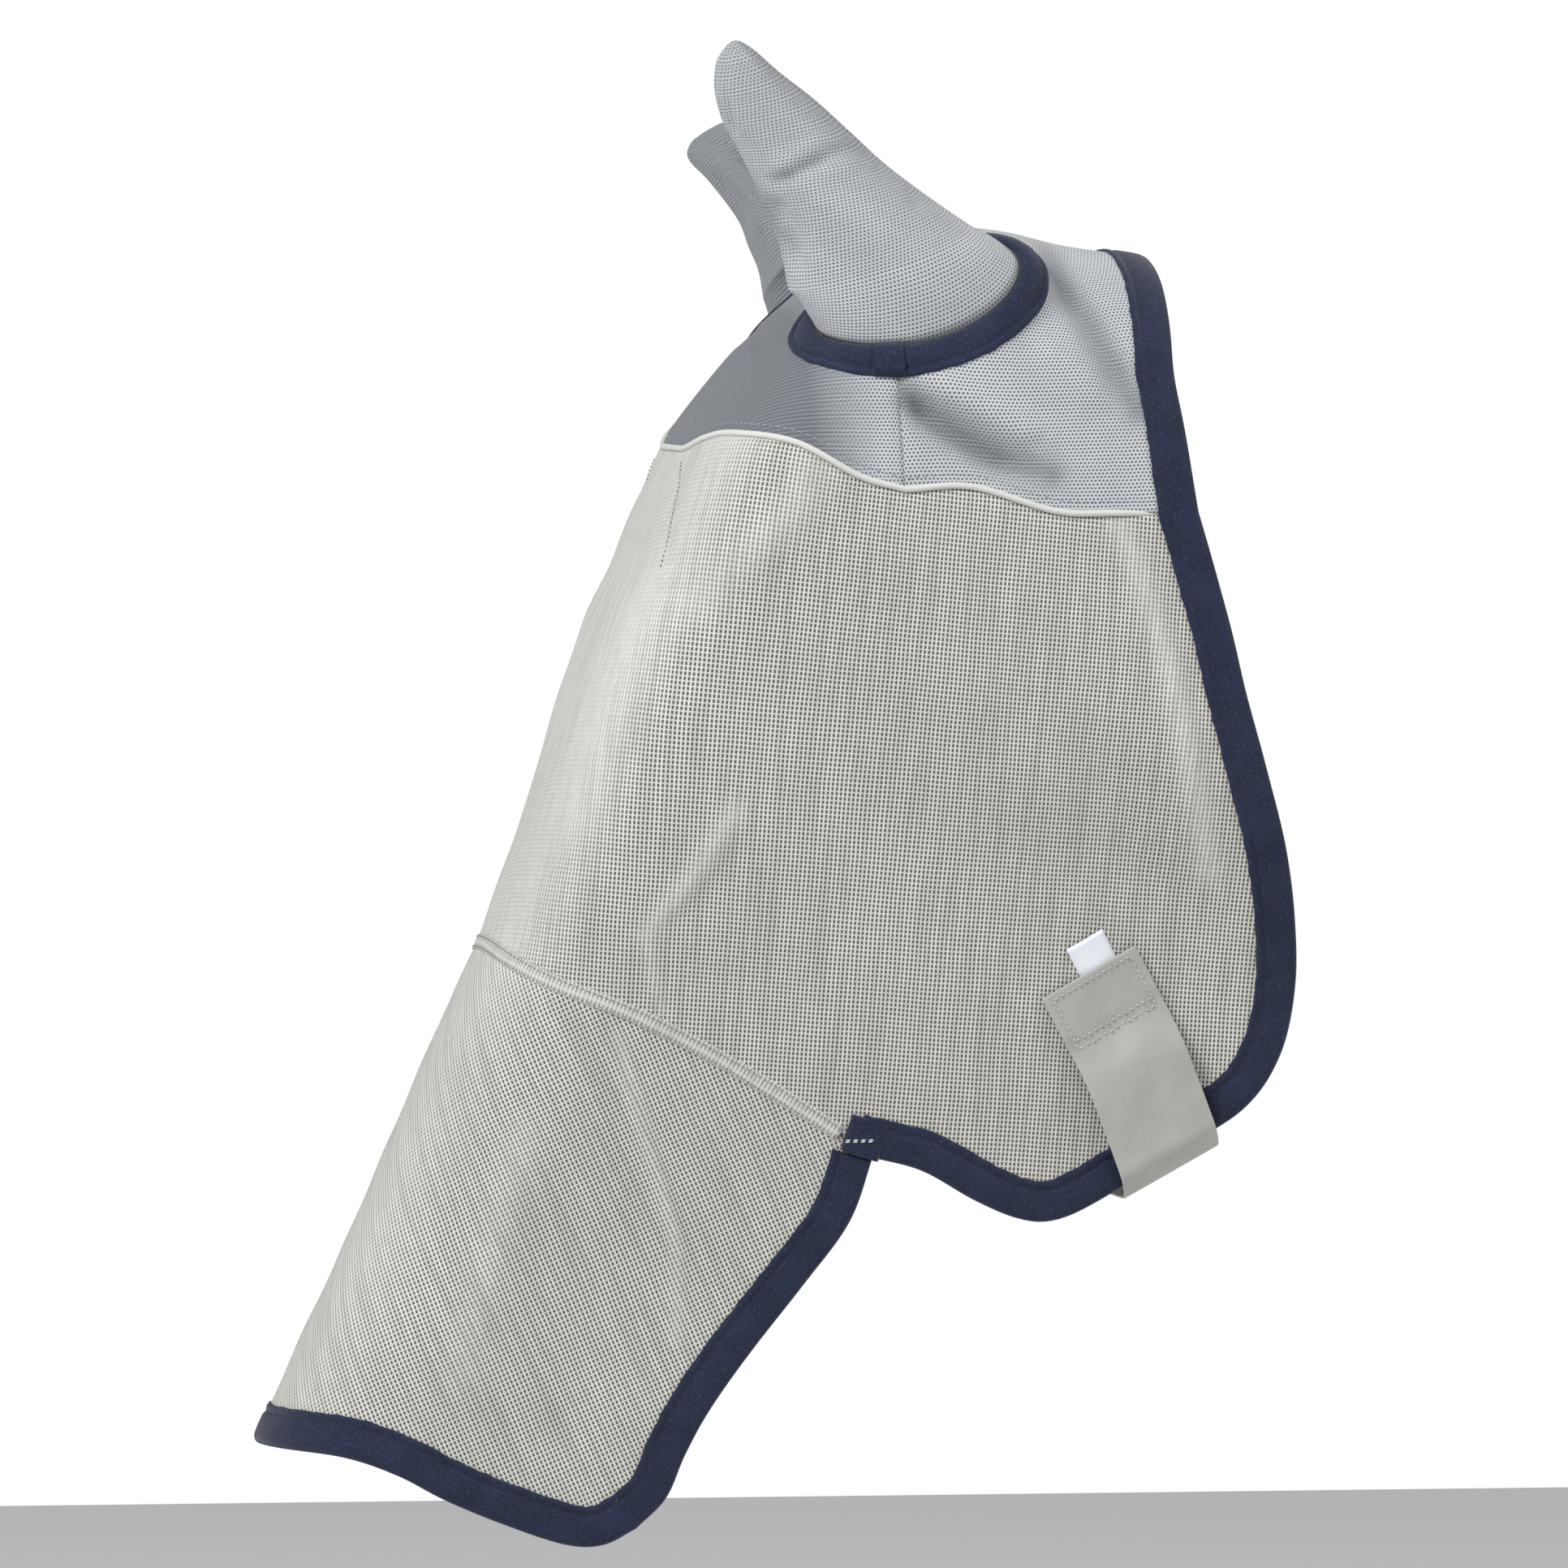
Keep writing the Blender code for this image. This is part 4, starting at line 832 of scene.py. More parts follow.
def ear_panel(name, stations, folds, start, flip):
    """One panel of an ear cover, from one seam round to the other."""
    table = np.array([(*fore, *aft, y, thick) for fore, aft, y, thick in stations])
    rows = eased(table, EAR_LINES)
    fore, aft = rows[:, [0, 4, 1]], rows[:, [2, 4, 3]]
    middle = (fore + aft) / 2
    wide = (aft - fore) / 2
    lean = directions(middle)
    thick = unit(np.cross(lean, wide))
    shares = run_of(middle)
    shares /= shares[-1]
    closing = np.sqrt(np.clip(1.0 - (np.maximum(shares - EAR_TIP, 0.0) / (1.0 - EAR_TIP))**2, 0.0, 1.0))
    wide *= (0.30 + 0.70 * closing)[:, None]
    thick *= (rows[:, 5] * closing + 0.0004)[:, None]
    angles = np.linspace(start, start + math.pi, EAR_COLUMNS)
    foot = hole_edge(angles, 0.0022, 0.0022)
    foot = foot + outward(foot) * (fold_lift(foot) - 0.0012)[:, None]
    grid = np.empty((EAR_LINES + 8, EAR_COLUMNS, 3))
    body = (middle[:, None] + np.cos(angles)[None, :, None] * wide[:, None]
            + np.sin(angles)[None, :, None] * thick[:, None])
    around = np.cross(np.gradient(body, axis=1), np.gradient(body, axis=0))
    around /= np.maximum(np.linalg.norm(around, axis=2), 1e-9)[..., None]
    around *= np.sign(((body - middle[:, None]) * around).sum(axis=2))[..., None]
    rise, turn = np.meshgrid(shares, angles, indexing="ij")
    push = 0.0006 * np.sin(9.0 * rise + 4.0 * turn) * np.sin(3.0 * turn + 2.0 * rise)
    for line, width, height in folds:
        run = eased(line, 30)
        gap = np.hypot(rise[..., None] - run[:, 0], (turn[..., None] - run[:, 1]) * 0.28)
        near = gap.argmin(axis=2)
        ends = np.clip(np.minimum(near, 29 - near) / 8.0, 0.0, 1.0)
        push = push + height * np.exp(-(gap.min(axis=2) / width * 1.6)**2) * ends
    seam = np.minimum(np.abs(turn - start), np.abs(start + math.pi - turn))
    seam = seam * np.linalg.norm(wide, axis=1)[:, None]
    push = push * np.clip(seam / 0.006, 0.0, 1.0) + 0.0009 * np.exp(-(seam / 0.0016)**2)
    body = body + around * (push * closing[:, None])[..., None]
    grid[8:] = body
    leave = np.linspace(0.0, 1.0, 9)[:8, None, None]
    rise_out = HOLE_OUT * 0.010 * leave * (1 - leave)
    grid[:8] = foot[None] * (1 - leave) + body[0][None] * leave + rise_out
    around_run = np.concatenate([np.zeros((len(grid), 1)),
                                 np.cumsum(np.linalg.norm(np.diff(grid, axis=1), axis=2), axis=1)], axis=1)
    up_run = np.concatenate([np.zeros((1, EAR_COLUMNS)),
                             np.cumsum(np.linalg.norm(np.diff(grid, axis=0), axis=2), axis=0)])
    uv = np.stack([around_run - around_run[:, -1:] / 2,
                   np.repeat(up_run.mean(axis=1)[:, None], EAR_COLUMNS, 1)], axis=2)
    made = from_grid(name, grid * np.array([1.0, flip, 1.0]), uv)
    climb = np.concatenate([np.zeros(8), shares])[:, None]
    # These values darken the ear knit: darker towards the tip, painted shade along the back edge and on the front
    # facet low down, and the whole inner panel painted darker as painted shade of the faces turned from the
    # light.
    rear = np.clip(1.0 - np.abs(angles) / 1.2, 0.0, 1.0)[None, :]
    fore = np.clip(1.0 - np.abs(angles + math.pi) / 0.5, 0.0, 1.0)[None, :]
    fore = fore * np.exp(-((climb - 0.30) / 0.14)**2)
    drawn_and_ear_shade = 0.10 + 0.25 * climb + 0.40 * rear * np.clip(climb * 2.0, 0.0, 1.0) + 0.6 * fore
    drawn_and_ear_shade = drawn_and_ear_shade if start < 0 else np.full_like(drawn_and_ear_shade, 0.8)
    attribute(made, "drawn_and_shade", np.broadcast_to(drawn_and_ear_shade, grid.shape[:2]).ravel())
    return made_cloth(made, 0.0008, KNIT)


for side, flip, stations, folds in (("left", 1.0, LEFT_EAR, LEFT_FOLDS),
                                    ("right", -1.0, RIGHT_EAR, RIGHT_FOLDS)):
    for panel, start in (("outer", -math.pi), ("inner", 0.0)):
        cover = ear_panel(f"{side}_ear_{panel}_cloth", stations, folds, start, flip)
        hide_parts(f"{side}_ear_{panel}_panel")
        out = HOLE_OUT * np.array([1.0, flip, 1.0])
        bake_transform(cover)


# ---------------------------------------------------------------------------------------------
# Brow piping. A white corded piping caught in the seam between the crown and the face mesh,
# with a row of top stitches on the crown above it.
# ---------------------------------------------------------------------------------------------
PIPING_RADIUS = 0.0015
STITCH_LENGTH, STITCH_PITCH = 0.0024, 0.0036


def plain_stuff(name, colour, rough, sheen=0.0):
    made = bpy.data.materials.new(name)
    made.use_nodes = True
    shader = made.node_tree.nodes["Principled BSDF"]
    shader.inputs["Base Color"].default_value = (*colour, 1.0)
    shader.inputs["Roughness"].default_value = rough
    shader.inputs["Sheen Weight"].default_value = sheen
    return made


def round_cord(name, curve, radius, stuff, sides=12, closed=False):
    """A round cord along a curve, with pattern coordinates along it and round it."""
    along = directions(curve, closed)
    up = outward(curve)
    up = unit(up - along * (up * along).sum(axis=1)[:, None])
    across = np.cross(along, up)
    turns = np.linspace(0.0, 2 * math.pi, sides + 1)
    lines = np.array([curve + radius * (math.cos(turn) * up + math.sin(turn) * across) for turn in turns])
    run = run_of(curve)
    uv = pattern(run, turns * radius)
    return close_tube(from_grid(name, lines, uv), 0.00001, stuff)


def stitch_row(name, runs, radius, stuff, length=STITCH_LENGTH, pitch=STITCH_PITCH, normals=None):
    """Rows of short stitches along the curves given, one small bead of thread for each."""
    places, ups, alongs = [], [], []
    for index, curve in enumerate(runs):
        total = np.linalg.norm(np.diff(curve, axis=0), axis=1).sum()
        count = max(int(total / pitch), 1)
        shares = (np.arange(count) + 0.5) / count
        spots = walked(curve, count, shares)
        places.append(spots)
        alongs.append(directions(walked(curve, count, np.clip(shares, 0, 1))) if count > 1 else
                      np.repeat([(curve[-1] - curve[0]) / np.linalg.norm(curve[-1] - curve[0])], count, axis=0))
        ups.append(outward(spots) if normals is None else np.repeat([normals[index]], count, axis=0))
    places, ups, alongs = np.vstack(places), np.vstack(ups), np.vstack(alongs)
    bpy.ops.object.select_all(action="DESELECT")
    bpy.ops.mesh.primitive_uv_sphere_add(segments=6, ring_count=4, radius=1.0)
    bead = bpy.context.object
    shape = points_of(bead)
    faces = [tuple(polygon.vertices) for polygon in bead.data.polygons]
    bpy.ops.object.delete()
    sides = unit(np.cross(ups, alongs))
    ups = np.cross(alongs, sides)
    vertices = (places[:, None] + shape[None, :, 2:3] * length / 2 * alongs[:, None]
                + shape[None, :, 0:1] * radius * sides[:, None] + shape[None, :, 1:2] * radius * ups[:, None])
    all_faces = [tuple(corner + index * len(shape) for corner in face)
                 for index in range(len(places)) for face in faces]
    mesh = bpy.data.meshes.new(name)
    mesh.from_pydata(vertices.reshape(-1, 3).tolist(), [], all_faces)
    made = bpy.data.objects.new(name, mesh)
    bpy.context.scene.collection.objects.link(made)
    take_up(made)
    face_out()
    bpy.ops.object.shade_smooth()
    made.data.materials.append(stuff)
    return made


def both_halves(curve):
    """A curve of the left half that starts on the centre line, carried on over the right half."""
    return np.vstack([curve[:0:-1] * OTHER_SIDE, curve])


def cord_stuff():
    white = Finish("white_piping", 0.7, sheen=0.1, specular=0.25)
    twist = white.sum("PINGPONG", white.plus(white.times(white.u, 900.0),
                                            white.times(white.v, 500.0)), 0.5)
    white.colour(white.mixed(white.ramp(twist, 0.0, 0.5, 0.0, 0.25), (0.60, 0.60, 0.575), (0.42, 0.42, 0.40)))
    white.bump(twist, 0.0002, 0.5)
    return white.material


WHITE = cord_stuff()
GREY_THREAD = plain_stuff("grey_thread", (0.30, 0.34, 0.38), 0.7)
brow = np.vstack([brow_fore, brow_aft[1:]])
brow_left = walked(brow, 170, np.linspace(0.0, 0.945, 170))
tuck = np.clip((np.arange(170) - 158) / 11.0, 0.0, 1.0)[:, None]
cord_left = on_cloth(brow_left, 0.0004) - outward(brow_left) * 0.0020 * tuck
piping = round_cord("brow_piping", both_halves(cord_left), PIPING_RADIUS, WHITE)
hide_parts("browline_piping")
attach(piping, "mask")
top_row = rail(brow_left[4:], 0.0052, 0.0006, 1)
top_stitches = stitch_row("brow_top_stitches", [top_row, top_row * OTHER_SIDE], 0.00032, GREY_THREAD)
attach(top_stitches, "mask")

# ---------------------------------------------------------------------------------------------
# Crown seams. A flat tape inside covers each seam under the ear holes and along the top.
# ---------------------------------------------------------------------------------------------
SEAM_TAPE, TAPE_SINK = 0.0075, 0.0022
seams = (("left_side_seam_tape", walked(front_grid[-1], 40, np.linspace(0.20, 0.97, 40)), "left_crown_seam"),
         ("top_seam_tape", walked(front_grid[0][::-1], 30, np.linspace(0.0, 0.70, 30)), "top_crown_seam"))
for name, curve, node in seams:
    lines = np.array([rail(curve, across, -TAPE_SINK)
                      for across in np.linspace(-SEAM_TAPE / 2, SEAM_TAPE / 2, 5)])
    if name == "top_seam_tape":
        lines[:, 0, 1] = 0.0
    run = np.linspace(0.0, 0.06, len(curve))
    uv = pattern(run, np.linspace(0, SEAM_TAPE, 5))
    tape = from_grid(name, lines, uv)
    attribute(tape, "drawn_and_shade", np.ones(len(tape.data.vertices)))
    made_cloth(tape, 0.0006, KNIT, mirrored=name == "top_seam_tape")
    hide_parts(node)
    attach(tape, "mask")
    if name != "top_seam_tape":
        other = mirrored_copy(tape, "right_side_seam_tape")
        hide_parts("right_crown_seam")
        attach(other, "mask")

# ---------------------------------------------------------------------------------------------
# Face mesh. One wide piece of open polyester mesh over the eyes and cheeks, shaped by two darts
# on the forehead, with its threads hanging upright. It is sewn to the crown at the brow.
# ---------------------------------------------------------------------------------------------
MESH_THICK = 0.0011
MESH_PITCH = (0.00193, 0.00215)
SEAM_FRONT = (-0.267, -0.315)
NOSE_SEAM = [
    SEAM_FRONT, (-0.259, -0.322), (-0.243, -0.331), (-0.206, -0.346), (-0.168, -0.366), (-0.132, -0.388),
    JAW_CORNER,
]


def patch(front, rear, top, bottom):
    """Grid of points between four curves, laid on the head."""
    count, columns = len(front), len(top)
    v = np.linspace(0.0, 1.0, count)[:, None, None]
    u = np.linspace(0.0, 1.0, columns)[None, :, None]
    corners = ((1 - u) * (1 - v) * front[0] + u * (1 - v) * rear[0] + (1 - u) * v * front[-1]
               + u * v * rear[-1])
    ruled = front[:, None] * (1 - u) + rear[:, None] * u + top[None] * (1 - v) + bottom[None] * v - corners
    grid = laid_rows(list(ruled), columns - 1)
    grid[0], grid[-1] = top, bottom
    return grid


def mesh_stuff():
    """Warm grey open mesh: square holes between round threads, painted near black as painted shade of the inside
    seen through them, shown less where fewer holes are to show.
    """
    mesh = Finish("open_mesh", 0.72, sheen=0.15, specular=0.3)
    sway = mesh.times(mesh.minus(mesh.noise(14.0, 2.0), 0.5), 1.2)
    across = mesh.plus(mesh.times(mesh.u, 1 / MESH_PITCH[0]), sway)
    along = mesh.plus(mesh.times(mesh.v, 1 / MESH_PITCH[1]), sway)
    gap_u, gap_v = mesh.sum("PINGPONG", across, 0.5), mesh.sum("PINGPONG", along, 0.5)
    hole = mesh.times(mesh.ramp(gap_u, 0.20, 0.33, 1.0, 0.0), mesh.ramp(gap_v, 0.26, 0.38, 1.0, 0.0))
    seen = mesh.times(hole, mesh.read("hole_shade"))
    patch_tone = mesh.ramp(mesh.noise(9.0, 3.0), 0.3, 0.7, 0.0, 1.0)
    ground = mesh.mixed(patch_tone, (0.578, 0.571, 0.537), (0.638, 0.631, 0.595))
    columns = mesh.tree.nodes.new("ShaderNodeMapping")
    columns.inputs["Scale"].default_value = (260.0, 14.0, 1.0)
    mesh.tree.links.new(mesh.uv, columns.inputs["Vector"])
    streak = mesh.ramp(mesh.noise(1.0, 2.0, columns.outputs["Vector"]), 0.42, 0.66, 0.0, 0.30)
    ground = mesh.mixed(streak, ground, (0.330, 0.326, 0.300))
    slub = mesh.ramp(mesh.noise(160.0, 2.0), 0.35, 0.7, 0.0, 0.16)
    ground = mesh.mixed(slub, ground, (0.390, 0.388, 0.350))
    cross = mesh.times(mesh.ramp(gap_u, 0.10, 0.28, 1.0, 0.0), 0.42)
    ground = mesh.mixed(cross, ground, (0.300, 0.297, 0.272))
    # The holes are painted near black: painted shade of the inside of the mask seen through them.
    mesh.colour(mesh.mixed(mesh.times(seen, 0.89), ground, (0.048, 0.048, 0.043)))
    mesh.bump(mesh.minus(1.0, seen), 0.0006, 0.6)
    return mesh.material


MESH = mesh_stuff()


def shown_hole_shade(points):
    """How much of the painted hole shade shows: less over the front of the face, and less along the raised folds,
    which leaves them lighter as painted highlights.
    """
    side = np.abs(outward(points)[:, 1])
    ridge_highlight = np.zeros(len(points))
    for line, width, height in FOLDS:
        if height > 0.0:
            gap = np.linalg.norm(points[:, None, ::2] - eased(line, 40)[None], axis=2).min(axis=1)
            # Raised folds show fewer dark holes: painted highlight along the ridges.
            ridge_highlight = np.maximum(ridge_highlight, min(height / 0.0026, 1.0) * 0.55 * np.exp(-(gap / width)**2))
    return (0.30 + 0.70 * np.clip((side - 0.45) / 0.42, 0.0, 1.0)) * (1.0 - ridge_highlight)


def hitched(made):
    """The right jaw drawn a little higher than the left one."""
    places = points_of(made)
    near = np.exp(-((places[:, 0] + 0.066) / 0.042)**2) * np.clip((-0.345 - places[:, 2]) / 0.055, 0.0, 1.0)
    places[:, 2] += 0.0160 * near * (places[:, 1] > 0.0)
    made.data.vertices.foreach_set("co", places.ravel())
    made.data.update()


seam_line = lifted(NOSE_SEAM, 112)
face_top = walked(brow, 112)
face_front = centre_run(BROW_FRONT, SEAM_FRONT, 128)
face_grid = patch(face_front, walked(cheek_side, 128), face_top, seam_line)
flat = face_grid.reshape(-1, 3)
laid = on_cloth(flat).reshape(face_grid.shape)
off = outward(flat).reshape(face_grid.shape)
for row, depth in ((0, 1.0), (1, 0.4), (-1, 1.0), (-2, 0.4)):
    laid[row] -= off[row] * 0.0009 * depth
laid[:, 0, 1] = 0.0
face = from_grid("face_mesh_cloth", laid)
face_area = cut_flat(face, math.radians(4.5))
attribute(face, "hole_shade", shown_hole_shade(points_of(face)))
made_cloth(face, MESH_THICK, MESH, mirrored=True)
hitched(face)
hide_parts("face_mesh_panel")
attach(face, "mask")

# ---------------------------------------------------------------------------------------------
# Forehead darts. The slack of the mesh is folded under on each side of the forehead and sewn
# down, which leaves a fine line of stitches outside and a narrow fold inside.
# ---------------------------------------------------------------------------------------------
DART = [(-0.1803, -0.0965), (-0.1862, -0.1140), (-0.1906, -0.1295), (-0.1945, -0.1440)]
GREY_STITCH = plain_stuff("mesh_stitches", (0.22, 0.22, 0.20), 0.7)
dart_line = lifted(DART, 30, from_centre=False)
dart_stitches = on_cloth(dart_line, 0.0010)
fold_rows = np.array([rail(dart_line, across, -0.0024) for across in np.linspace(0.0, 0.005, 4)])
uv = pattern(np.linspace(0, 0.05, 30), np.linspace(0, 0.005, 4))
left_dart = from_grid("left_dart_fold", fold_rows, uv)
attribute(left_dart, "hole_shade", np.full(len(left_dart.data.vertices), 0.6))
made_cloth(left_dart, 0.0010, MESH)
right_dart = mirrored_copy(left_dart, "right_dart_fold")
stitches = stitch_row("dart_stitches", [dart_stitches, dart_stitches * OTHER_SIDE], 0.00026, GREY_STITCH,
                      0.0016, 0.0024)
for side, dart in (("left", left_dart), ("right", right_dart)):
    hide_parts(f"{side}_forehead_dart")
    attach(dart, "mask")
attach(stitches, "mask")

# ---------------------------------------------------------------------------------------------
# Nose cover. The same mesh turned so that its threads run down the nose, joined to the face by
# a felled seam with two rows of stitches.
# ---------------------------------------------------------------------------------------------
HEM_FRONT = (-0.369, -0.541)
HEM_CORNER = (-0.2065, -0.5775)
NOSE_EDGE = [
    JAW_CORNER, (-0.110, -0.439), (-0.1305, -0.4675), (-0.154, -0.4975), (-0.1735, -0.525), (-0.1845, -0.545),
    (-0.193, -0.564), HEM_CORNER, (-0.221, -0.5845), (-0.238, -0.584), (-0.266, -0.5745), (-0.292, -0.5635),
    (-0.314, -0.552), (-0.338, -0.544), HEM_FRONT,
]
nose_rear, nose_hem = split_at(NOSE_EDGE, HEM_CORNER)
nose_rear, nose_hem = lifted(nose_rear, 88, from_centre=False), lifted(nose_hem[::-1], 90)
nose_front = centre_run(SEAM_FRONT, HEM_FRONT, 88)
nose_grid = patch(nose_front, nose_rear, walked(seam_line, 90), nose_hem)
flat = nose_grid.reshape(-1, 3)
laid = on_cloth(flat).reshape(nose_grid.shape)
off = outward(flat).reshape(nose_grid.shape)
for row, depth in ((0, 1.0), (1, 0.4)):
    laid[row] -= off[row] * 0.0009 * depth
laid[:, 0, 1] = 0.0
nose = from_grid("nose_mesh_cloth", laid)
nose_area = cut_flat(nose, math.radians(-24.0))
attribute(nose, "hole_shade", shown_hole_shade(points_of(nose))**0.55)
made_cloth(nose, MESH_THICK, MESH, mirrored=True)
hitched(nose)
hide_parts("nose_mesh_panel")
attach(nose, "mask")

SEAM_BAND = 0.0072
seam_run = both_halves(walked(seam_line, 150, np.linspace(0.0, 0.93, 150)))
band_rows = []
for across, lift in ((-0.0036, 0.0004), (-0.0033, 0.0008), (-0.0026, 0.0004), (-0.0012, 0.0009), (0.0010, 0.0009),
                     (0.0022, 0.0004), (0.0030, 0.0008), (0.0036, 0.0004)):
    left = rail(seam_run[149:], across, lift)
    left[0, 1] = 0.0
    band_rows.append(both_halves(left))
run = run_of(seam_run)
uv = pattern(run, np.linspace(0.0, SEAM_BAND, 8))
band = from_grid("nose_seam_band", np.array(band_rows), uv)
attribute(band, "hole_shade", np.full(len(band.data.vertices), 0.45))
made_cloth(band, 0.0005, MESH)
seam_rows = [both_halves(rail(seam_run[151:], across, 0.0012)) for across in (-0.0027, 0.0023)]
seam_stitches = stitch_row("nose_seam_stitches", seam_rows, 0.00028, GREY_STITCH, 0.0020, 0.0029)
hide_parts("nose_seam_tape")
for piece, slot in ((band, "face_mesh"), (seam_stitches, "thread")):
    hitched(piece)
    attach(piece, "mask")

# ---------------------------------------------------------------------------------------------
# Edge bindings. Navy tape folded round the edge from the poll down the back, round the cheeks
# to the jaw, and another round the nose cover, each sewn with one row of stitches.
# ---------------------------------------------------------------------------------------------
BINDING_WIDTH = 0.0170
NAVY_THREAD = plain_stuff("navy_thread", (0.012, 0.015, 0.040), 0.6)


def from_middle(lines):
    """The first point of each line put on the centre line."""
    lines[:, 0, 1] = 0.0
    return lines


edge = np.vstack([poll_side, cheek_side[1:]])
past = on_head(edge[-1:] + directions(edge)[-1:] * 0.0070)
edge = walked(np.vstack([edge, past]), 420)
hem = walked(np.vstack([nose_hem, nose_rear[::-1][1:]]), 330, np.linspace(0.0, 0.993, 330))
binding_profile = tape_profile(BINDING_WIDTH, MESH_THICK, BINDING_WIDTH - 0.0040)
for name, node, curve, side in (("edge_binding_tape", "edge_binding", edge, -1),
                                ("nose_binding_tape", "nose_cover_binding", hem, 1)):
    tape = folded_tape(name, curve, binding_profile, NAVY, side, ends=from_middle, wobble=0.0003)
    bpy.ops.object.mode_set(mode="EDIT")
    bpy.ops.mesh.select_all(action="DESELECT")
    bpy.ops.object.mode_set(mode="OBJECT")
    for polygon in tape.data.polygons:
        polygon.select = abs(polygon.center[1]) < 1e-6
    bpy.ops.object.mode_set(mode="EDIT")
    bpy.ops.mesh.select_mode(type="FACE")
    bpy.ops.mesh.delete(type="ONLY_FACE")
    bpy.ops.mesh.select_mode(type="VERT")
    bpy.ops.object.mode_set(mode="OBJECT")
    other_half(tape)
    bpy.ops.object.shade_smooth()
    row = rail(curve[2:], BINDING_WIDTH - 0.0040, 0.0010, side)
    thread = stitch_row(name.replace("tape", "stitches"), [row, row * OTHER_SIDE], 0.00026, NAVY_THREAD,
                        0.0022, 0.0032)
    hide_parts(node)
    for piece in (tape, thread):
        hitched(piece)
        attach(piece, "mask")

# ---------------------------------------------------------------------------------------------
# Jaw corners. The end of the nose binding is folded over the edge binding where they meet, and
# held by a white bar tack.
# ---------------------------------------------------------------------------------------------
WHITE_THREAD = plain_stuff("white_thread", (0.80, 0.80, 0.78), 0.65)
corner = nose_rear[0]
down = directions(nose_rear)[0]
inward = np.cross(outward(corner[None])[0], down)
inward *= -1.0 / np.linalg.norm(inward)
rows = []
for step in np.linspace(-0.0150, 0.0022, 9):
    bump = 0.0024 + 0.0006 * math.cos(step * 260.0)
    spots = on_head(np.array([corner + down * step + inward * across
                              for across in np.linspace(-0.0040, 0.0136, 12)]))
    height = np.full(12, bump)
    height[[0, -1]] = 0.0012
    rows.append(on_cloth(spots) + outward(spots) * height[:, None])
uv = pattern(np.linspace(0, 0.018, 12), np.linspace(0, 0.019, 9))
left_corner = made_cloth(from_grid("left_corner_tape", np.array(rows), uv), 0.0009, NAVY)
right_corner = mirrored_copy(left_corner, "right_corner_tape")
tack_line = on_head(np.array([corner + down * (-0.0075 + 0.35 * across) + inward * across
                              for across in np.linspace(0.0005, 0.0135, 8)]))
tack_rows = [on_cloth(tack_line, 0.0037), on_cloth(tack_line + down * 0.0009, 0.0036)]
left_tack = stitch_row("left_white_tack", tack_rows, 0.00028, WHITE_THREAD, 0.0023, 0.0029)
right_tack = mirrored_copy(left_tack, "right_white_tack")
for side, fold, tack in (("left", left_corner, left_tack), ("right", right_corner, right_tack)):
    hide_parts(f"{side}_corner_fold")
    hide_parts(f"{side}_bar_tack")
    for piece, slot in ((fold, "navy_tape"), (tack, "white_cord")):
        hitched(piece)
        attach(piece, "mask")

# ---------------------------------------------------------------------------------------------
# Throat straps. A soft satin-faced webbing sewn to each cheek by a box of stitches. They pass
# under the throat, the left over the right, and close there with hook and loop tape.
# ---------------------------------------------------------------------------------------------
STRAP_WIDTH, STRAP_THICK = 0.0495, 0.0015
STRAP_BOX, STRAP_DROP = 0.030, 0.1000
STRAP_LEAN = math.radians(29)
STRAP_START = np.array([-0.002, -0.327])
STRAP_BOW, LAST_CHEEK, OVERLAP = 0.007, 0.082, 0.070
STRAP_STEP, STRAP_SWING = 0.0044, 0.0085
STRAP_REACH, STITCHED_HALF = 0.0235, 0.0205
strap_down = np.array([math.sin(STRAP_LEAN), -math.cos(STRAP_LEAN)])
strap_over = np.array([math.cos(STRAP_LEAN), math.sin(STRAP_LEAN)])


def strap_place(run, across):
    """Place in the side elevation, run down the strap and across it; its free end swings forward."""
    swing = STRAP_SWING * max((run - STRAP_BOX) / (STRAP_DROP - STRAP_BOX), 0.0)**1.4
    return STRAP_START + strap_down * run + strap_over * (across - swing)


def cheek_at(run, across):
    """Half width of the head under the strap."""
    x, z = strap_place(run, across)
    return section(np.array([x]), np.array([z]))[0][0]


def strap_point(run, across, out):
    x, z = strap_place(run, across)
    return np.array([x, -out, z])


def strap_path(drop):
    """Middle of the strap from the top of its stitched box: run down it, and how far out it is."""
    box = [(cheek_at(run, 0.0) + 0.0030, run) for run in (0.0, 0.010, 0.020, 0.030)]
    runs = STRAP_BOX + (LAST_CHEEK - STRAP_BOX) * np.array([0.35, 0.7, 1.0])
    edge_out = [max(cheek_at(run, across) for across in (-STRAP_REACH, 0.0, STRAP_REACH)) + STRAP_BOW
                for run in runs]
    path = box + list(zip(edge_out, runs))
    last = edge_out[-1]
    path += [(last - 0.001, drop - 0.009), (last - 0.009, drop - 0.0015), (last - 0.020, drop),
             (last - 0.032, drop), (0.0, drop), (-OVERLAP / 2, drop)]
    return eased(path, 110)


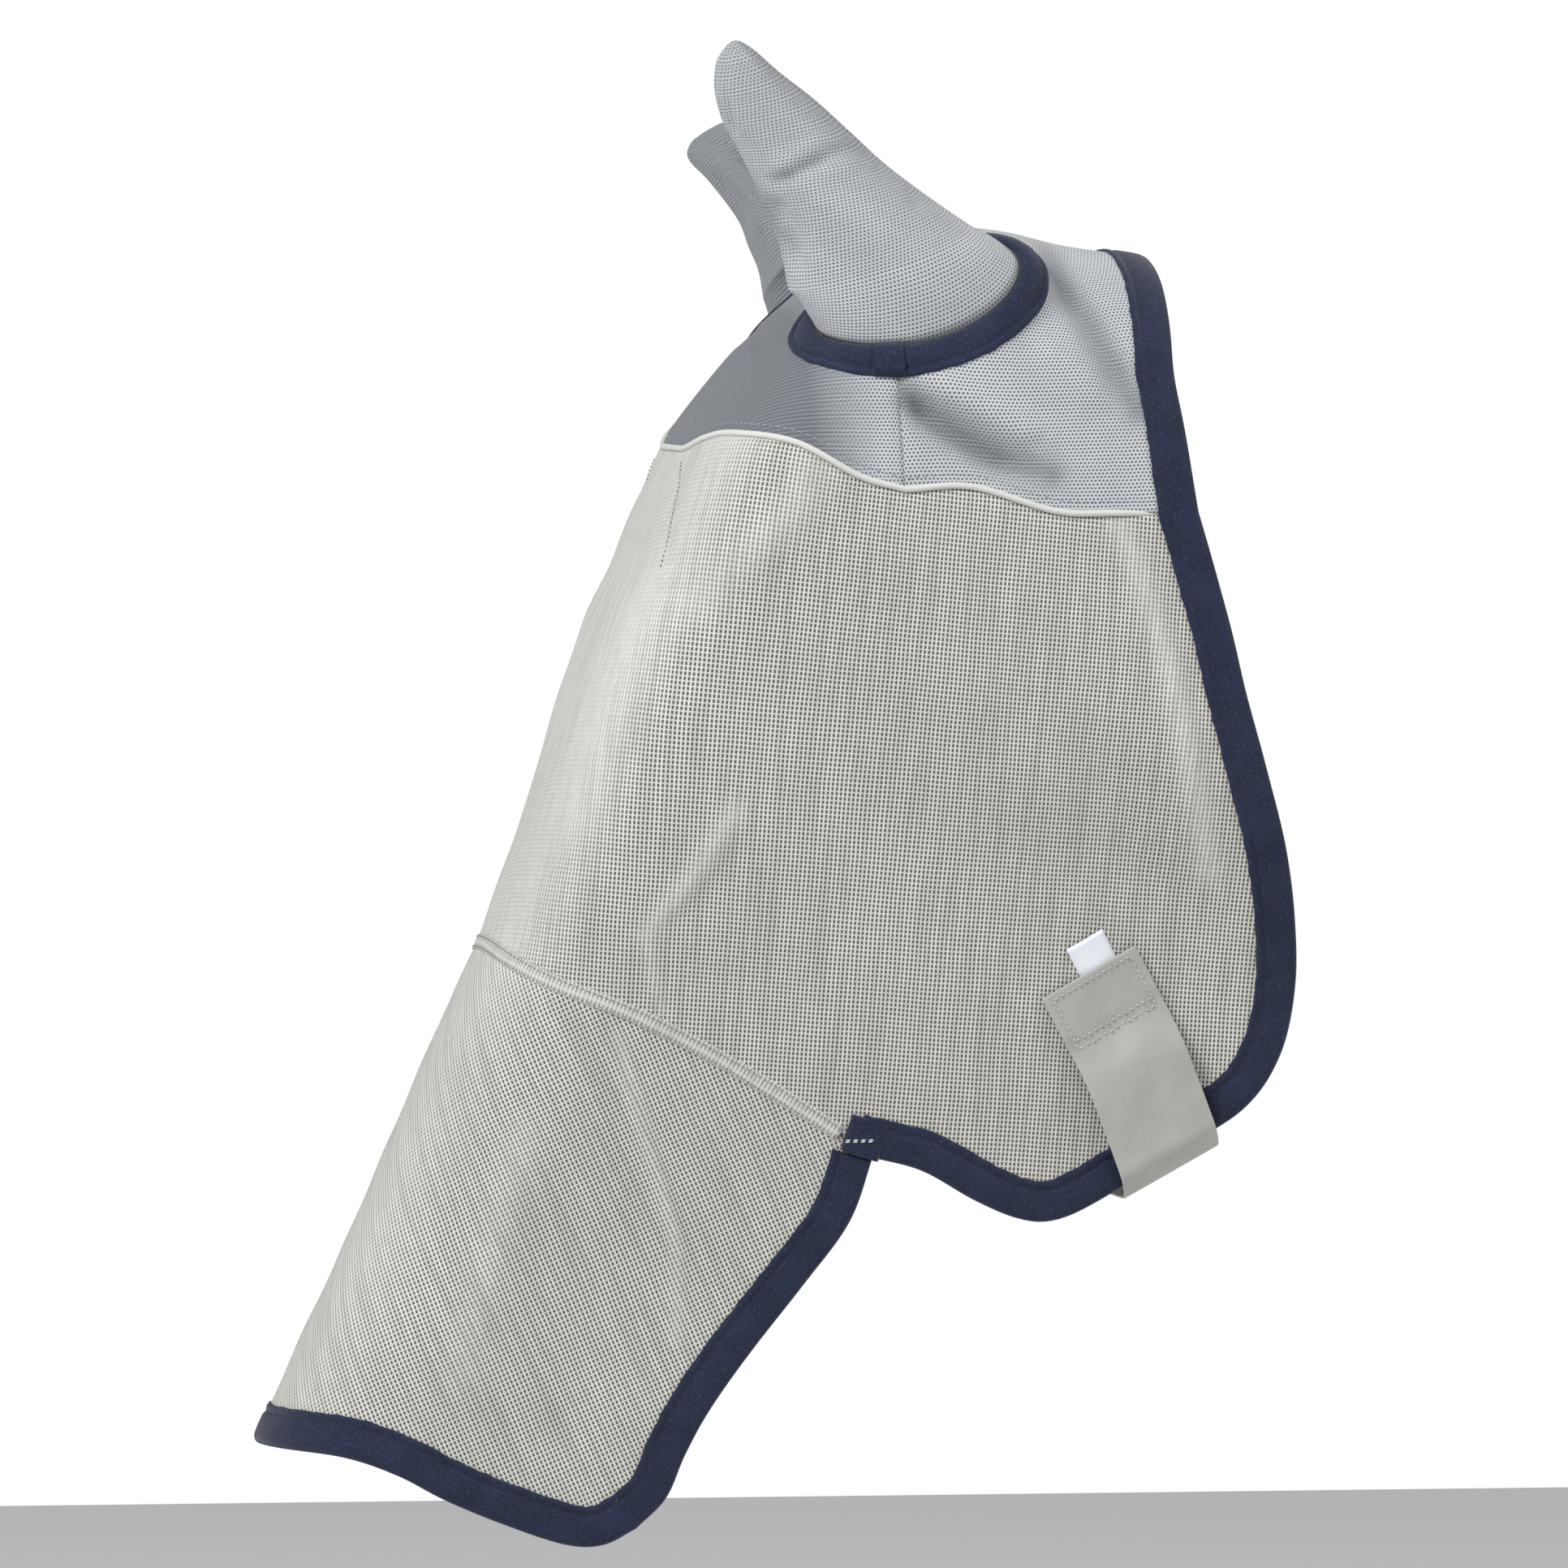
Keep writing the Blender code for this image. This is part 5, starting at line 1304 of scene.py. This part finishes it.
def strap(name, drop, flip):
    path = strap_path(drop)
    front_lean = cheek_at(STRAP_BOX, STRAP_REACH) - cheek_at(STRAP_BOX, -STRAP_REACH)
    rows = []
    for index, (out, run) in enumerate(path):
        lean = front_lean * min(max((drop - 0.004 - run) / 0.030, 0.0), 1.0)
        row = []
        for share in np.linspace(-1.0, 1.0, 19):
            across = share * STRAP_WIDTH / 2
            free = min(max((run - STRAP_BOX) / 0.012, 0.0), 1.0)
            pucker = 0.0005 * math.sin(across * 620.0) * math.exp(-((run - STRAP_BOX) / 0.004)**2)
            bow = free * 0.0013 * (1 - share**2) * math.sin(min(index, 60) / 60 * math.pi)
            roll = 0.0008 * math.sin(5.2 * share + 0.7) * math.sin(index * 0.13) * free
            lift = lean * share / 2 + bow + pucker + roll * (run < drop - 0.01)
            row.append(strap_point(run, across, out + lift))
        rows.append(row)
    grid = np.array(rows)
    run = run_of(grid[:, 9])
    uv = pattern(np.linspace(-STRAP_REACH, STRAP_REACH, 19), run)
    if flip < 0:
        grid, uv = grid[:, ::-1], uv[:, ::-1]
    made = from_grid(name, grid * np.array([1.0, flip, 1.0]), uv)
    made_cloth(made, STRAP_THICK, STRAP)
    edges = made.modifiers.new("soft_edges", "BEVEL")
    edges.width = 0.0005
    edges.segments = 2
    edges.limit_method = "ANGLE"
    edges.angle_limit = math.radians(60)
    bpy.ops.object.modifier_apply(modifier="soft_edges")
    bpy.ops.object.shade_smooth_by_angle(angle=math.radians(50))
    return made


def strap_stuff():
    """Warm grey satin-faced webbing: very fine cross ribs with a soft shine, a little creased."""
    satin = Finish("satin_webbing", 0.48, sheen=0.2, specular=0.4)
    rib = satin.stripes(satin.v, 0.0009)
    fleck = satin.stripes(satin.u, 0.0006)
    tone = satin.ramp(satin.noise(45.0, 4.0), 0.3, 0.7, 0.0, 1.0)
    ground = satin.mixed(tone, (0.350, 0.346, 0.322), (0.398, 0.393, 0.366))
    satin.colour(satin.mixed(satin.ramp(rib, 0.1, 0.5, 0.0, 0.16), ground, (0.25, 0.25, 0.23)))
    satin.bump(satin.plus(rib, satin.times(fleck, 0.4)), 0.00022, 0.45)
    return satin.material


def hook_stuff():
    """Dark hook tape, a dense short pile; the looped tape is the strap's own grey webbing."""
    pile = Finish("hook_pile", 0.9, sheen=0.3, specular=0.2)
    spot = pile.noise(2600.0, 2.0)
    pile.colour(pile.mixed(pile.ramp(spot, 0.4, 0.7, 0.0, 1.0), (0.010, 0.010, 0.012), (0.075, 0.075, 0.080)))
    pile.bump(spot, 0.0005, 0.8)
    return pile.material


STRAP = strap_stuff()
HOOK = hook_stuff()
LOOP = strap_stuff()
LOOP.name = "loop_pile"
STITCH_THREAD = plain_stuff("strap_thread", (0.52, 0.515, 0.475), 0.6)
for side, flip, drop in (("left", 1.0, STRAP_DROP), ("right", -1.0, STRAP_DROP - STRAP_STEP)):
    turn = np.array([1.0, flip, 1.0])
    webbing = strap(f"{side}_strap_webbing", drop, flip)
    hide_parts(f"{side}_strap", f"{side}_strap_box")
    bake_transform(webbing)
    pad_rows = []
    pad_out = STRAP_THICK / 2 + 0.0008
    level = drop - pad_out if side == "left" else drop + pad_out
    for out in np.linspace(-0.033, 0.033, 12):
        pad_rows.append([strap_point(level, across, out) * turn
                         for across in np.linspace(-STITCHED_HALF, STITCHED_HALF, 9)])
    pad_rows = np.array(pad_rows)
    uv = pattern(np.linspace(0, 0.041, 9), np.linspace(0, 0.066, 12))
    pad = from_grid(f"{side}_closing_tape", pad_rows, uv)
    made_cloth(pad, 0.0010, HOOK if side == "left" else LOOP)
    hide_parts("left_hook_tape" if side == "left" else "right_loop_tape")
    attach(pad, f"{side}_strap")
    lean = cheek_at(STRAP_BOX, STRAP_REACH) - cheek_at(STRAP_BOX, -STRAP_REACH)

    def on_box(run, across):
        out = np.interp(run, strap_path(drop)[:40, 1], strap_path(drop)[:40, 0])
        return strap_point(run, across, out + lean * across / STRAP_WIDTH + STRAP_THICK / 2 + 0.0005) * turn

    box_rows = [np.array([on_box(run, across) for across in np.linspace(-STITCHED_HALF, STITCHED_HALF, 8)])
                for run in (0.0030, STRAP_BOX - 0.0055, STRAP_BOX - 0.0015)]
    box_rows += [np.array([on_box(run, across) for run in np.linspace(0.003, STRAP_BOX - 0.0015, 8)])
                 for across in (-STITCHED_HALF, STITCHED_HALF)]
    off = np.array([0.0, -1.0, 0.0]) * turn
    thread = stitch_row(f"{side}_strap_stitches", box_rows, 0.00034, STITCH_THREAD, 0.0021, 0.0031,
                        normals=[off] * len(box_rows))
    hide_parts(f"{side}_strap_stitching")
    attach(thread, "mask")

# ---------------------------------------------------------------------------------------------
# Size label. A small blank white woven label caught under the top of the left strap.
# ---------------------------------------------------------------------------------------------
LABEL_WIDTH, LABEL_SHOWS, LABEL_TUCK = 0.019, 0.014, 0.005


def label_stuff():
    satin = Finish("woven_label", 0.55, sheen=0.1, specular=0.35)
    rib = satin.stripes(satin.v, 0.0005)
    satin.colour(satin.mixed(satin.ramp(rib, 0.0, 0.5, 0.0, 0.25), (0.80, 0.82, 0.88), (0.62, 0.65, 0.74)))
    satin.bump(rib, 0.00015, 0.4)
    return satin.material


rows = []
for run in np.linspace(-LABEL_SHOWS, LABEL_TUCK, 10):
    lift = 0.0011 + 0.0012 * max(-run / LABEL_SHOWS, 0.0)**2
    rows.append([strap_point(run, 0.0055 + across, cheek_at(run, 0.0055 + across) + lift
                             + 0.0004 * math.cos(across * 330.0))
                 for across in np.linspace(-LABEL_WIDTH / 2, LABEL_WIDTH / 2, 9)])
uv = pattern(np.linspace(0, LABEL_WIDTH, 9), np.linspace(0, 0.019, 10))
label = made_cloth(from_grid("blank_size_label", np.array(rows), uv), 0.0004, label_stuff())
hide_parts("size_label")
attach(label, "mask")
